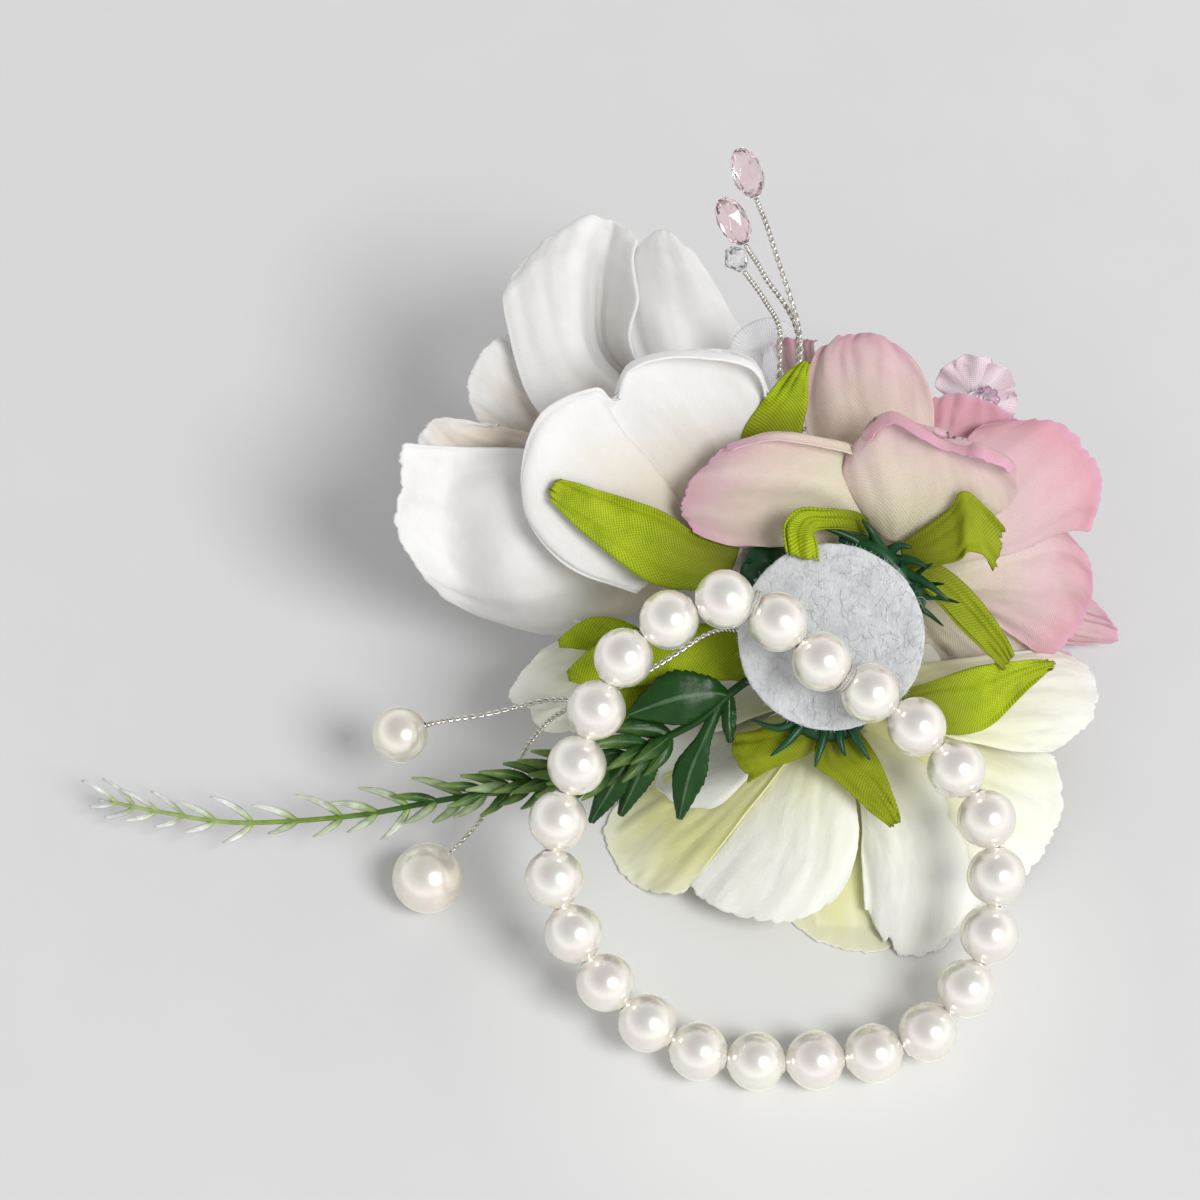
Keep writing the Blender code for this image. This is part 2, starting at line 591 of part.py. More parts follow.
def make_calyx(name, bloom, calyx, finish, corsage):
    """The plastic cup behind a bloom, with its spikes and the stub that reaches the glue."""
    base, facing, top, right = bloom_frame(bloom)
    outline = ((0, -calyx.stub), (1.5, -calyx.stub), *CUP_OUTLINE, (0, CUP_OUTLINE[-1][1]))
    cup = new_object(name, placed(turned(outline, 10), base, facing), finish, corsage)
    spikes = []
    for number, turn in enumerate(calyx.turns):
        outward = top * math.cos(math.radians(turn)) + right * math.sin(math.radians(turn))
        reach = calyx.reach * (1.0 if number % 2 else 0.86)
        profile = ((3.4, -5.1), ((3.4 + reach) / 2, (calyx.tip - 10) / 3), (reach, calyx.tip))
        places = [base + outward * radial + facing * axial for radial, axial in profile]
        route = [to_disc(place) for place in places]
        spikes.append(rod(f"{name} spike {number}", route, 1.4, finish, corsage, 3, 4, 0.15))
    return fused(cup, spikes)


def make_sepals(name, bloom, routes, finish, corsage, bed):
    """Sepals that grow from a small round hub behind the bloom's core."""
    base, facing, _, _ = bloom_frame(bloom)
    back = -CORE_BACK * bloom.core - PLAY
    outline = (
        (0, back - LEAF_THICK), (SEPAL_HUB, back - LEAF_THICK), (SEPAL_HUB, back), (0, back)
    )
    hub = new_object(name, placed(turned(outline, 10), base, facing), finish, corsage)
    middle = to_disc(base + facing * (back - LEAF_THICK / 2))
    behind = -(to_disc(base + facing) - to_disc(base))
    leaves = []
    for number, route in enumerate(routes):
        away = Vector(route[0]).to_3d() - middle
        away = (away - behind * away.dot(behind)).normalized()
        start = [
            (*(middle + away * reach), SEPAL_ROOT_WIDTH) for reach in (1.5, SEPAL_LEAVES_AT)
        ]
        leaves.append(leaf_blade(
            f"{name} leaf {number}", (*start, *route), finish, corsage, root=behind, bed=bed
        ))
    return fused(hub, leaves)


def make_bud_sepals(finish, corsage, bed):
    stem = rod("bud_sepals", BUD_STEM, 2.0, finish, corsage, 6, 6)
    fused(stem, [
        leaf_blade(f"bud sepal {number}", route, finish, corsage, bed=bed)
        for number, route in enumerate(BUD_SEPALS)
    ])


def small_leaf(name, root, run, length, finish, corsage):
    """A slim pointed leaf of the sprig, from root along run in the disc's directions."""
    shape = bmesh.new()
    bmesh.ops.create_uvsphere(shape, u_segments=4, v_segments=2, radius=1)
    bmesh.ops.scale(shape, vec=(0.2 * length, 0.42, length / 2), verts=shape.verts)
    bmesh.ops.translate(shape, vec=(0, 0, length / 2 - 0.4), verts=shape.verts)
    axis = from_disc(*run) - DISC_MIDDLE
    side = OUT.cross(axis)
    if side.length < 0.3:
        side = UP.cross(axis)
    placed(shape, from_disc(*root), axis, side.normalized().cross(axis))
    return new_object(name, shape, finish, corsage)


def make_sprig(corsage):
    finish = material("sprig_green", (0.1, 0.25, 0.09), 0.45)
    stem = rod("greenery_sprig", SPRIG_STEM, SPRIG_WIDTH, finish, corsage, 22, 4, 0.6)
    parts = [
        leaf_blade(f"sprig leaf {number}", route, finish, corsage, fold=0.3)
        for number, route in enumerate(SPRIG_LEAVES)
    ]
    for whorl in range(SPRIG_WHORLS):
        part = whorl / (SPRIG_WHORLS - 1)
        share = SPRIG_FIRST + (0.985 - SPRIG_FIRST) * part
        root = smooth_open(SPRIG_STEM, share)
        run = run_of(SPRIG_STEM, share)
        across = OUT_OF_DISC.cross(run).normalized()
        length = SPRIG_LEAF[0] + (SPRIG_LEAF[1] - SPRIG_LEAF[0]) * part
        for turn in (20 + 25 * (whorl % 2), 160 + 25 * (whorl % 2), 275):
            angle, lean = math.radians(turn), math.radians(SPRIG_LEANS)
            away = across * math.cos(angle) + run.cross(across) * math.sin(angle)
            aim = run * math.cos(lean) + away * math.sin(lean)
            name = f"sprig leaf {whorl} {turn}"
            parts.append(small_leaf(name, root, aim, length, finish, corsage))
    fused(stem, parts)


def make_wires(name, routes, finish, corsage):
    """A spray's twisted wires as round rods, joined where they branch."""
    rods = [
        rod(f"{name} {number}" if number else name, route, WIRE_WIDTH, finish, corsage, 2 * len(route))
        for number, route in enumerate(routes)
    ]
    fused(rods[0], rods[1:])


def make_spray_pearl(name, wire, middle, width, finish, corsage):
    """A pearl with a blind hole that takes the wire's end."""
    radius, hole = width / 2, WIRE_WIDTH / 2 + PLAY
    start = math.asin(hole / radius)
    outline = [(0, -0.1 * radius), (hole, -0.1 * radius)]
    for step in range(7):
        angle = start + (math.pi - start) * step / 6
        outline.append((radius * math.sin(angle) if step < 6 else 0, -radius * math.cos(angle)))
    axis = (from_disc(*middle) - from_disc(*wire)).normalized()
    pearl = new_object(name, placed(turned(outline, 10), from_disc(*middle), axis), finish, corsage)
    pearl.data.shade_smooth()
    pearl.data.set_sharp_from_angle(angle=math.radians(50))


def make_crystal(name, ends, outline, finish, corsage):
    """A cut bead threaded on its wire's end, just clear of it."""
    foot, middle = (from_disc(*end) for end in ends)
    axis = (middle - foot).normalized()
    half = outline[-1][1]
    closed = ((0, outline[0][1]), *outline, (0, half))
    shape = placed(turned(closed, 6), foot + axis * (half + PLAY), axis)
    new_object(name, shape, finish, corsage)


def make_ribbon(corsage):
    finish = material("organza", (0.75, 0.75, 0.76), 0.5, alpha=0.6)
    leaf_blade("ribbon_loop", RIBBON, finish, corsage, columns=1, fold=0)


def main():
    for obj in list(bpy.data.objects):
        bpy.data.objects.remove(obj)
    corsage = bpy.data.objects.new("corsage", None)
    corsage.location = SHIFT * MM
    bpy.context.scene.collection.objects.link(corsage)
    make_pearls(corsage)
    make_elastic(corsage)
    make_disc(corsage)
    white_silk = material("white_silk", (0.85, 0.85, 0.84), 0.75)
    pink_silk = material("pink_silk", (0.82, 0.5, 0.55), 0.75)
    cream_silk = material("cream_silk", (0.8, 0.81, 0.62), 0.75)
    leaf_silk = material("leaf_silk", (0.32, 0.4, 0.03), 0.8)
    plastic = material("calyx_green", (0.02, 0.12, 0.06), 0.4)
    make_pad(corsage)
    make_stitches(corsage)
    white = make_bloom("white_bloom", WHITE, white_silk, corsage)
    sepals = make_sepals("white_sepals", WHITE, WHITE_SEPALS, leaf_silk, corsage, surface_of(white))
    calyx = make_calyx("white_calyx", WHITE, WHITE_CALYX, plastic, corsage)
    behind = surface_of(white, sepals, calyx)
    pink = make_bloom("pink_bloom", PINK, pink_silk, corsage, behind)
    make_sepals("pink_sepals", PINK, PINK_SEPALS, leaf_silk, corsage, surface_of(pink))
    make_calyx("pink_calyx", PINK, PINK_CALYX, plastic, corsage)
    cream = make_bloom("cream_bloom", CREAM, cream_silk, corsage)
    make_sepals("cream_sepals", CREAM, CREAM_SEPALS, leaf_silk, corsage, surface_of(cream))
    make_calyx("cream_calyx", CREAM, CREAM_CALYX, plastic, corsage)
    bud = make_bloom("cream_bud", BUD, cream_silk, corsage)
    make_bud_sepals(leaf_silk, corsage, surface_of(bud))
    make_sprig(corsage)
    wire = material("silver_wire", (0.8, 0.8, 0.78), 0.3, 1.0)
    make_wires("pearl_spray_wire", PEARL_SPRAY, wire, corsage)
    make_wires("crystal_spray_wire", CRYSTAL_SPRAY, wire, corsage)
    pearly = material("spray_pearl", (0.85, 0.83, 0.72), 0.2)
    make_spray_pearl("spray_pearl_small", PEARL_SPRAY[0][-1], *SMALL_SPRAY_PEARL, pearly, corsage)
    make_spray_pearl("spray_pearl_large", PEARL_SPRAY[1][-1], *LARGE_SPRAY_PEARL, pearly, corsage)
    rose_glass = material("rose_crystal", (0.8, 0.62, 0.66), 0.05)
    for number, ends in enumerate(PINK_CRYSTALS):
        make_crystal(f"pink_crystal_{number + 1}", ends, PINK_CRYSTAL_OUTLINE, rose_glass, corsage)
    glass = material("clear_crystal", (0.8, 0.82, 0.82), 0.05)
    make_crystal("clear_crystal", CLEAR_CRYSTAL, CLEAR_CRYSTAL_OUTLINE, glass, corsage)
    make_bloom("blossom", BLOSSOM, material("pale_organza", (0.85, 0.72, 0.77), 0.6), corsage)
    make_ribbon(corsage)


if __name__ == "__main__":
    main()
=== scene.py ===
"""Wrist corsage: the looks of its pearls, felt, silk blooms, leaves and sprays.

Lengths in the routes and petals below are millimetres of the plan and angles degrees. The plan
has x to the right, y away and z up from the table; SHIFT moves it to the frame of the solids.
Flowers and sprays are placed from the middle of the felt disc that they are fixed to: to its
right, up its face, and out of it.
"""

import math
import random
from collections import namedtuple
from functools import partial

import bmesh
import bpy
from mathutils import Matrix, Vector, noise
from mathutils.bvhtree import BVHTree


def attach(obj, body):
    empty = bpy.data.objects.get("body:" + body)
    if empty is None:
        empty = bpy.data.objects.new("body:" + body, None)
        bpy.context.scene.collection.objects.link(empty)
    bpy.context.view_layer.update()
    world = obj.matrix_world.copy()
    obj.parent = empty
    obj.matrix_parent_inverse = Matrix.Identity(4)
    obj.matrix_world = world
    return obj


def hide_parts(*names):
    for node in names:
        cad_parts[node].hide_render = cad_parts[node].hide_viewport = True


bl_info = {
    "name": "Wrist corsage",
    "version": (1, 0, 0),
    "blender": (4, 5, 0),
    "location": "3D View > Sidebar > Corsage",
    "description": "Dresses the solids of a wrist corsage as silk, pearls, felt, plastic and wire",
    "category": "Object",
}

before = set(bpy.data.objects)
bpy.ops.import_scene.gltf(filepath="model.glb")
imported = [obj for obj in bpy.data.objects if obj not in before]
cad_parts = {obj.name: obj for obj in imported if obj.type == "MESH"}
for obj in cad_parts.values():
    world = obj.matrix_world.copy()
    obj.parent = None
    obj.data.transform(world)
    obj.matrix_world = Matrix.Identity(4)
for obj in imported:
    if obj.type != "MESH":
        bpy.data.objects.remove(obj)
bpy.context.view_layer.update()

MM = 0.001
MERGED = 0.0005
SHIFT = Vector((30.15, -58.2, -0.06))

# Bracelet, as the solids have it
PEARLS = 24
PEARL_RIM = (1.0, 1.0, 0.88)
SOLID_PEARL_WIDTH = 7.9
PEARL_HALF_LENGTH = 4.08
PEARL_NUB = 1.35
PEARL_SIDES = 40
BORE_DEPTH = 0.9
RING_LEAN = 35.0
RING_ROUTE = (
    (0, 0, 0), (-16.9, 1.5, 0), (-29.7, 11.7, 0), (-36.4, 27, 0.2), (-32.5, 42.9, 0.7),
    (-25.7, 57.4, 1.4), (-11.4, 64.4, 1.9), (1.7, 54.9, 1.2), (14, 46.4, -0.7),
    (23.9, 33, -1.5), (24, 16.9, -1.2), (15.6, 3.8, -0.6),
)
STITCHES = (12.5, 14.5)
STITCH_LOOP = 1.95
STITCH_POINTS = 24
LEG_POINTS = 10
LEG_TWIST = 0.9

# Felt disc and the glue behind it
DISC_MIDDLE = Vector((2.3, 51.0, 33.2))
DISC_LEAN = 30.0
DISC_WIDTH = 26.0
DISC_THICK = 1.5
DISC_BEVEL = 0.35
DISC_SIDES = 120
EDGE_FIBRES = 360
FACE_FIBRES = 260
PAD_MIDDLE = (1.5, 3.0)
PAD_THICK = 2.2
PAD_SIDES = 48
PAD_SWELL = 0.04
PAD_OUTLINE = (
    (0, -1.1), (8.2, -1.1), (9.1, -0.8), (9.5, -0.1), (9.3, 0.7), (8.4, 1.05), (5, 1.1), (0, 1.1),
)
PLAY = 0.3

RIGHT = Vector((1.0, 0.0, 0.0))
UP = Vector((0.0, math.cos(math.radians(DISC_LEAN)), math.sin(math.radians(DISC_LEAN))))
OUT = RIGHT.cross(UP)
OUT_OF_DISC = Vector((0.0, 0.0, 1.0))

# Petals: turn is a clock direction seen from behind the bloom, lean and flare are the angles
# from the bloom's axis at the root and at the rim, spread is half the angle across, and cup how
# far round it bends. Over says that it lies on the blooms made before it, and tone how far its
# dye is moved towards the colour of its rim, or below naught towards its root colour, which on
# the petals that lie behind others is painted shade
PETAL_ROOT = 0.7
RIM_ROUND = 0.2
BELLY = 0.3
CORE_SHARE = 0.8
CORE_BACK = 0.6
LOWEST_CLOTH = 0.4
NET_GRID = (64, 40)
PLAIN_GRID = (26, 24)
BLOSSOM_GRID = (14, 14)
LEAF_GRID = (24, 48)
PETAL_CLEARANCE = 1.0
LEAF_CLEARANCE = 0.4
NETTED_LEAF_CLEARANCE = 0.35
ABOVE_ALL = 20
TAUT = 0.995
Petal = namedtuple(
    "Petal", "turn lean flare length spread cup over tone",
    defaults=(0, 40, 60, 30, 45, 30, False, 0.0),
)
Bloom = namedtuple("Bloom", "base toward tilt core petals")


def netted(*tones):
    """Petals of these tones, whose shapes are in the nets below."""
    return tuple(Petal(tone=tone) for tone in tones)


def ring_of(*turns, **shape):
    """Petals of one shape, at these turns round the bloom."""
    return tuple(Petal(turn=turn, **shape) for turn in turns)


# The two netted back petals, of tone -0.5 and -0.6, take the beige root colour all over: painted
# shade, as they lie behind the others
WHITE = Bloom((-12, 12.5, -12), 308, 55, 4.8, (
    *netted(0.0, 0.0, 0.0, 0.0, -0.5, -0.6),
    Petal(turn=70, lean=46, flare=50, length=38, spread=36, cup=40),
    Petal(turn=118, lean=36, flare=40, length=36, spread=36, cup=45),
    Petal(turn=170, lean=38, flare=40, length=37, spread=36, cup=45),
    Petal(turn=20, lean=16, flare=22, length=34, spread=34, cup=70),
    Petal(turn=140, lean=16, flare=22, length=30, spread=34, cup=70),
    Petal(turn=260, lean=16, flare=22, length=34, spread=34, cup=70),
))
PINK = Bloom((10, 8.5, -12), 8, 38, 4.6, (
    Petal(over=True, tone=-0.22),
    *netted(-0.1, -0.02, 0.12, 0.0, -0.3, -0.15, 0.35),
    Petal(turn=190, lean=50, flare=55, length=28, spread=36, cup=40),
    Petal(turn=238, lean=52, flare=55, length=28, spread=36, cup=40),
    *ring_of(0, 120, 240, lean=24, flare=34, length=22, spread=34, cup=60, tone=0.3),
    *netted(-0.1),
))
# The netted petals with a tone below naught, which lie behind the front two, take more of the
# yellow-green root colour: painted shade, tinted as if lit through the cloth
CREAM = Bloom((0, -9, -11), 172, 50, 4.6, (
    *netted(0.2, 0.2, -0.5, -0.15, -0.05, -0.5),
    Petal(turn=20, lean=68, flare=74, length=26, spread=34),
    Petal(turn=320, lean=66, flare=74, length=26, spread=34),
    Petal(turn=278, lean=58, flare=66, length=30, spread=30, tone=0.3),
    *ring_of(30, 150, 270, lean=30, flare=50, length=14, spread=40, cup=40, tone=0.5),
))
BUD = Bloom((-27, -4, -15), 262, 62, 3.0, (
    *netted(0.0, 0.0),
    *ring_of(75, 150, lean=36, flare=28, length=15, spread=40, cup=60),
))
BLOSSOM = Bloom(
    (21.6, 33.8, -16.9), 20, 30, 1.8,
    ring_of(308, 358, 60, 112, 190, lean=62, flare=78, length=6.6, spread=36, cup=50),
)

# Nets of the visible petals, by their numbers in the bloom, and of the leaves: rows of (right,
# up, out) points from the root to the rim, each row across the petal or the leaf
WHITE_NETS = {
    0: (
        ((-18.4, 10.5, -11), (-19, 11.9, -10.5), (-19.4, 13.5, -10), (-19.3, 14.9, -10),
         (-18.8, 15.6, -10), (-18.4, 16.2, -10), (-17.8, 16.6, -10), (-17.1, 16.9, -10.2),
         (-16, 17.3, -10.6), (-14.8, 17.6, -11)),
        ((-21.7, 9.1, -9.8), (-26.5, 11.5, -8), (-29.6, 16.1, -6.5), (-29.1, 20.9, -6),
         (-25.4, 23.4, -6.4), (-24.4, 24, -7.4), (-23.1, 24.6, -7.2), (-18.9, 25.6, -7),
         (-14.1, 25.2, -8), (-11.2, 23.6, -10.5)),
        ((-24.1, 8, -9.3), (-31.7, 10.8, -7), (-37.5, 17, -4.2), (-37.3, 24.4, -2.8),
         (-31, 29.2, -3), (-29.1, 29, -5.2), (-26.6, 31.1, -4.6), (-19.6, 33.4, -3.8),
         (-12.8, 32.5, -5), (-8.7, 29.5, -9)),
        ((-25.5, 7, -8.8), (-35, 10, -6.5), (-41.5, 18, -3.2), (-39.7, 28.5, -1.4),
         (-33.3, 33, -1.4), (-30.2, 31.6, -4), (-27.7, 36.1, -2.4), (-19.6, 38.3, -1.6),
         (-11.4, 37.2, -2.6), (-8.5, 32.2, -7.5)),
        ((-26.2, 6.4, -8.5), (-36.4, 10.2, -6.3), (-42.7, 19, -3.4), (-40.4, 30.1, -1.4),
         (-32.9, 34.1, -1.2), (-30.3, 32.4, -3.8), (-28, 38, -1), (-19.7, 39.7, -0.2),
         (-11.3, 38.5, -1.2), (-8.5, 33.4, -6.5)),
        ((-26.5, 6.1, -8.3), (-36.8, 9.8, -6.2), (-43.1, 19.1, -3.2), (-40.8, 30.5, -1.2),
         (-32.9, 34.6, -1.1), (-30.3, 32.9, -3.2), (-27.6, 36.9, 0.6), (-19.7, 38.5, 1.5),
         (-11.6, 37.2, 0.5), (-8.9, 32.8, -5.2)),
    ),
    1: (
        ((-19.5, 9.4, -17), (-19.9, 11.4, -15), (-19.7, 13.3, -14), (-19.3, 15.1, -14),
         (-18.7, 16.8, -14)),
        ((-29.3, 1.9, -23), (-32.2, 7.3, -16), (-32.4, 13, -13), (-31.7, 17.9, -12.5),
         (-30.5, 22.9, -13)),
        ((-38, 0.2, -22.5), (-42.9, 5.1, -14), (-44.9, 12.9, -9.5), (-44.2, 20.7, -8.6),
         (-41.4, 26.4, -9.8)),
        ((-47.5, 1.9, -27), (-52.1, 6.6, -19), (-54, 13.7, -16), (-54.1, 20.8, -13),
         (-51.8, 26.8, -11)),
        ((-53.6, 5.1, -22), (-58.5, 9.7, -12.5), (-61, 15.7, -8.5), (-60.7, 22, -6.5),
         (-60.7, 27.2, -6)),
    ),
    2: (
        ((-18, 18.2, -13), (-17, 19, -14), (-15.8, 19.4, -15), (-14.7, 19.8, -16.5),
         (-13.8, 19.9, -17)),
        ((-32.2, 26.5, -14), (-27.9, 29.4, -14), (-24.3, 31, -16.5), (-22.7, 32.4, -21.5),
         (-21.8, 32.8, -18.5)),
        ((-41.9, 33, -15), (-37.9, 37.7, -14.5), (-34.2, 39.5, -16), (-31.3, 41.7, -26),
         (-27.3, 41.8, -17.5)),
        ((-46.1, 46.8, -17), (-41.5, 50.3, -16.5), (-35.8, 51.4, -17.5), (-31.7, 52, -27.5),
         (-26.5, 48.3, -18)),
        ((-45.4, 50.6, -19), (-41.5, 54.9, -19), (-35.3, 58.3, -20), (-30.4, 57.9, -25),
         (-27.2, 54, -20)),
        ((-43.7, 53.1, -20), (-40.6, 57.2, -20.5), (-35.1, 60.4, -22), (-30, 60.4, -23.5),
         (-26.2, 57.7, -21)),
    ),
    3: (
        ((-14.4, 19.7, -16), (-13.8, 19.5, -17), (-13, 19, -18.5), (-12.2, 18.1, -20)),
        ((-21.7, 31.3, -24), (-18.8, 33, -23), (-15.2, 32.9, -25.5), (-11.9, 30.8, -29)),
        ((-27.4, 42.7, -30), (-22.6, 45.8, -27), (-16, 45.6, -29.5), (-10.2, 42, -35)),
        ((-28.3, 53.3, -33), (-24, 55.6, -31.5), (-18.5, 54, -33), (-13.2, 48.5, -38)),
        ((-26.5, 58.2, -35), (-24, 60, -34), (-20.9, 59.3, -35.5), (-16.9, 54.8, -39)),
    ),
    4: (
        ((-19.4, 12, -15.5), (-19.3, 13.7, -15.5), (-18.8, 15.4, -15.5), (-17.8, 16.6, -15.5)),
        ((-33.6, 19.5, -19), (-34.3, 22.4, -18.5), (-33.6, 26, -18), (-32.2, 29.6, -18)),
        ((-43.7, 27.4, -18), (-44.4, 30.3, -17.5), (-43, 34.6, -18), (-40.8, 39.7, -19)),
        ((-49.7, 30.2, -16.5), (-51.4, 35.3, -17), (-49.7, 40.4, -18.5), (-46.2, 44, -20)),
    ),
    5: (
        ((-19.4, 11.4, -16.5), (-19.3, 13, -16), (-18.8, 14.7, -15.5), (-18.3, 16.3, -15.5)),
        ((-36.5, 16.7, -21), (-37.2, 19.5, -18), (-36.5, 23.1, -16.5), (-35, 26.7, -16.5)),
        ((-50.8, 19.5, -17), (-52.1, 23.7, -13.5), (-51.4, 27.9, -12.5), (-47.9, 30.2, -13.5)),
        ((-56.4, 22.2, -13.5), (-58.1, 27.8, -11), (-54.9, 31.1, -11.5), (-46.4, 29.7, -13.5)),
    ),
}
PINK_NETS = {
    0: (
        ((3.3, 11.1, -10), (4.9, 12.9, -9), (6.4, 15.3, -8.6), (7.4, 18.6, -9), (8, 19.3, -8.5)),
        ((-1.8, 12.9, -8.6), (-1, 17.1, -5.5), (0.8, 21.2, -4), (4.6, 25.5, -5.5),
         (5.4, 24.4, -4)),
        ((-8.1, 12.6, -8.6), (-8.6, 17.5, -4.2), (-6.8, 22.5, -1.5), (-1.7, 27.5, -2.5),
         (-1.3, 26.3, -0.6)),
        ((-14.9, 12.9, -8.5), (-16.5, 17.5, -4.4), (-14.9, 22.8, -1.2), (-9, 28.2, -1),
         (-8.9, 27, 1)),
        ((-19, 14.6, -8), (-20.8, 17.8, -5.8), (-19.6, 21.6, -3.4), (-15.2, 26.2, -1.4),
         (-14.7, 25.3, 0.4)),
    ),
    1: (
        ((6.8, 14.2, -11.5), (8.5, 14.8, -11), (10.1, 14.9, -10.8), (11.8, 14.6, -10.8)),
        ((-0.9, 23.6, -11.5), (4.3, 24.9, -9), (9.5, 25.6, -8.5), (14.6, 24.2, -9.5)),
        ((-3.3, 32.1, -11), (2.4, 34, -7.5), (8.7, 34.4, -6.5), (15.2, 31.3, -8.5)),
        ((-2.1, 38.8, -9.5), (1.6, 40.3, -6.5), (7.8, 40.2, -5), (13.6, 36.4, -7)),
        ((-0.2, 41.4, -8.5), (3, 42.7, -6.5), (7.4, 42.2, -5), (11.1, 40, -6)),
    ),
    2: (
        ((8.3, 13.6, -8.8), (9.5, 13.2, -8.5), (10.9, 13.2, -8.5), (12.8, 13.2, -8.6),
         (15.3, 13.6, -9.5)),
        ((4.7, 17.5, -6.5), (7.6, 19.4, -3.6), (12.2, 19.7, -3.2), (16.8, 18.8, -3.6),
         (22.9, 16.6, -5.6)),
        ((2.2, 21.7, -4.8), (5.3, 25.3, -0.8), (11.6, 25.1, 0.2), (17.9, 23.8, -0.4),
         (25.8, 18.8, -3.6)),
        ((2, 24, -4.2), (6.3, 29.6, -0.2), (12.4, 27.8, 1.6), (17.2, 26.5, 1.2),
         (26.6, 21, -2.2)),
        ((2.8, 25.8, -3.6), (7, 30.9, 0.8), (12.6, 29, 2.6), (17, 27.4, 1.2), (20.9, 26.4, 2.4),
         (25.7, 23.5, -0.8)),
        ((3.6, 24.7, -2.4), (7.7, 29.2, 2.2), (12.8, 27.1, 3.6), (17, 25.6, 2.6),
         (20.3, 24.4, 3.6), (24.5, 22.1, 0.6)),
    ),
    3: (
        ((13.2, 13.9, -10.5), (14.7, 12.5, -11), (15.8, 10.8, -12), (16.1, 8.7, -13.5)),
        ((17.3, 22.1, -9), (22.4, 19.3, -10), (25.3, 15.1, -13), (25.3, 10.9, -17)),
        ((19.5, 27.8, -9), (28.1, 27.1, -10), (34.2, 21.5, -13.5), (34.5, 15.2, -19)),
        ((22.3, 30.3, -9.5), (32.5, 30.4, -11.5), (39.5, 23.7, -15.5), (39.1, 14.5, -20)),
    ),
    4: (
        ((16.1, 10, -12.5), (15.8, 8.5, -13.5), (15.1, 6.8, -15), (13.8, 5.4, -16.5)),
        ((22.8, 15.1, -13.5), (24.5, 10.9, -16), (24.1, 6.6, -19), (20.9, 3.7, -23)),
        ((28.7, 17.3, -15), (33.5, 13.1, -19), (34.1, 5.1, -24), (28.6, -0.7, -27)),
        ((32.6, 17.1, -17.5), (38.9, 10.9, -22), (38.9, 2.2, -27), (33.8, -4, -30)),
    ),
    5: (
        ((15.7, 9.3, -16), (14.5, 8, -17), (13, 7, -18), (11.1, 6.3, -18.5)),
        ((23.2, 5.1, -24), (21.9, 2.2, -25.5), (19.1, 0.7, -27), (14.8, 0, -28)),
        ((32.5, -0.8, -29), (31.3, -3.7, -31), (27.1, -5.5, -33), (19, -5.3, -34)),
        ((37.9, -3, -31), (37.5, -7.5, -33.5), (31.8, -10.5, -35), (21.5, -8.3, -36)),
    ),
    6: (
        ((15.9, 10.8, -15), (15.6, 9.6, -16), (15.1, 8.3, -17), (14, 7.1, -18)),
        ((25.9, 10.9, -22), (26.1, 8, -24), (24.8, 5.1, -26), (22.1, 2.9, -28)),
        ((35.3, 7.3, -28), (36.3, 4.4, -30), (35.8, 1.4, -32), (32.3, -0.8, -33)),
        ((40.7, 5.1, -30), (43.5, 2.2, -31.5), (44.9, -0.8, -33), (41.3, -1.7, -34)),
    ),
    7: (
        ((11.4, 14.4, -12.5), (13, 13.7, -13), (14.5, 12.7, -13.5), (15.4, 11.4, -14)),
        ((12.7, 25, -12), (16.9, 25, -12), (21.3, 22.2, -13), (23.7, 18, -15)),
        ((14.1, 30.7, -12), (18.3, 30.7, -12), (23.4, 27.9, -13), (27.3, 22.3, -16)),
        ((14.8, 34, -12.5), (19.4, 34.6, -12.5), (24.9, 32.5, -13.5), (31.7, 28.1, -16.5)),
    ),
    13: (
        ((6.4, 15.1, -14), (7.3, 15.4, -14), (8.1, 15.5, -14)),
        ((-1.4, 28, -15), (0.5, 29.5, -15), (2.5, 30.6, -15)),
        ((-5.7, 37.4, -15.5), (-3.5, 39.5, -15.5), (-1.4, 40.6, -15.5)),
        ((-7.2, 42.8, -16), (-4.1, 42.7, -16), (-0.8, 42.3, -16)),
    ),
}
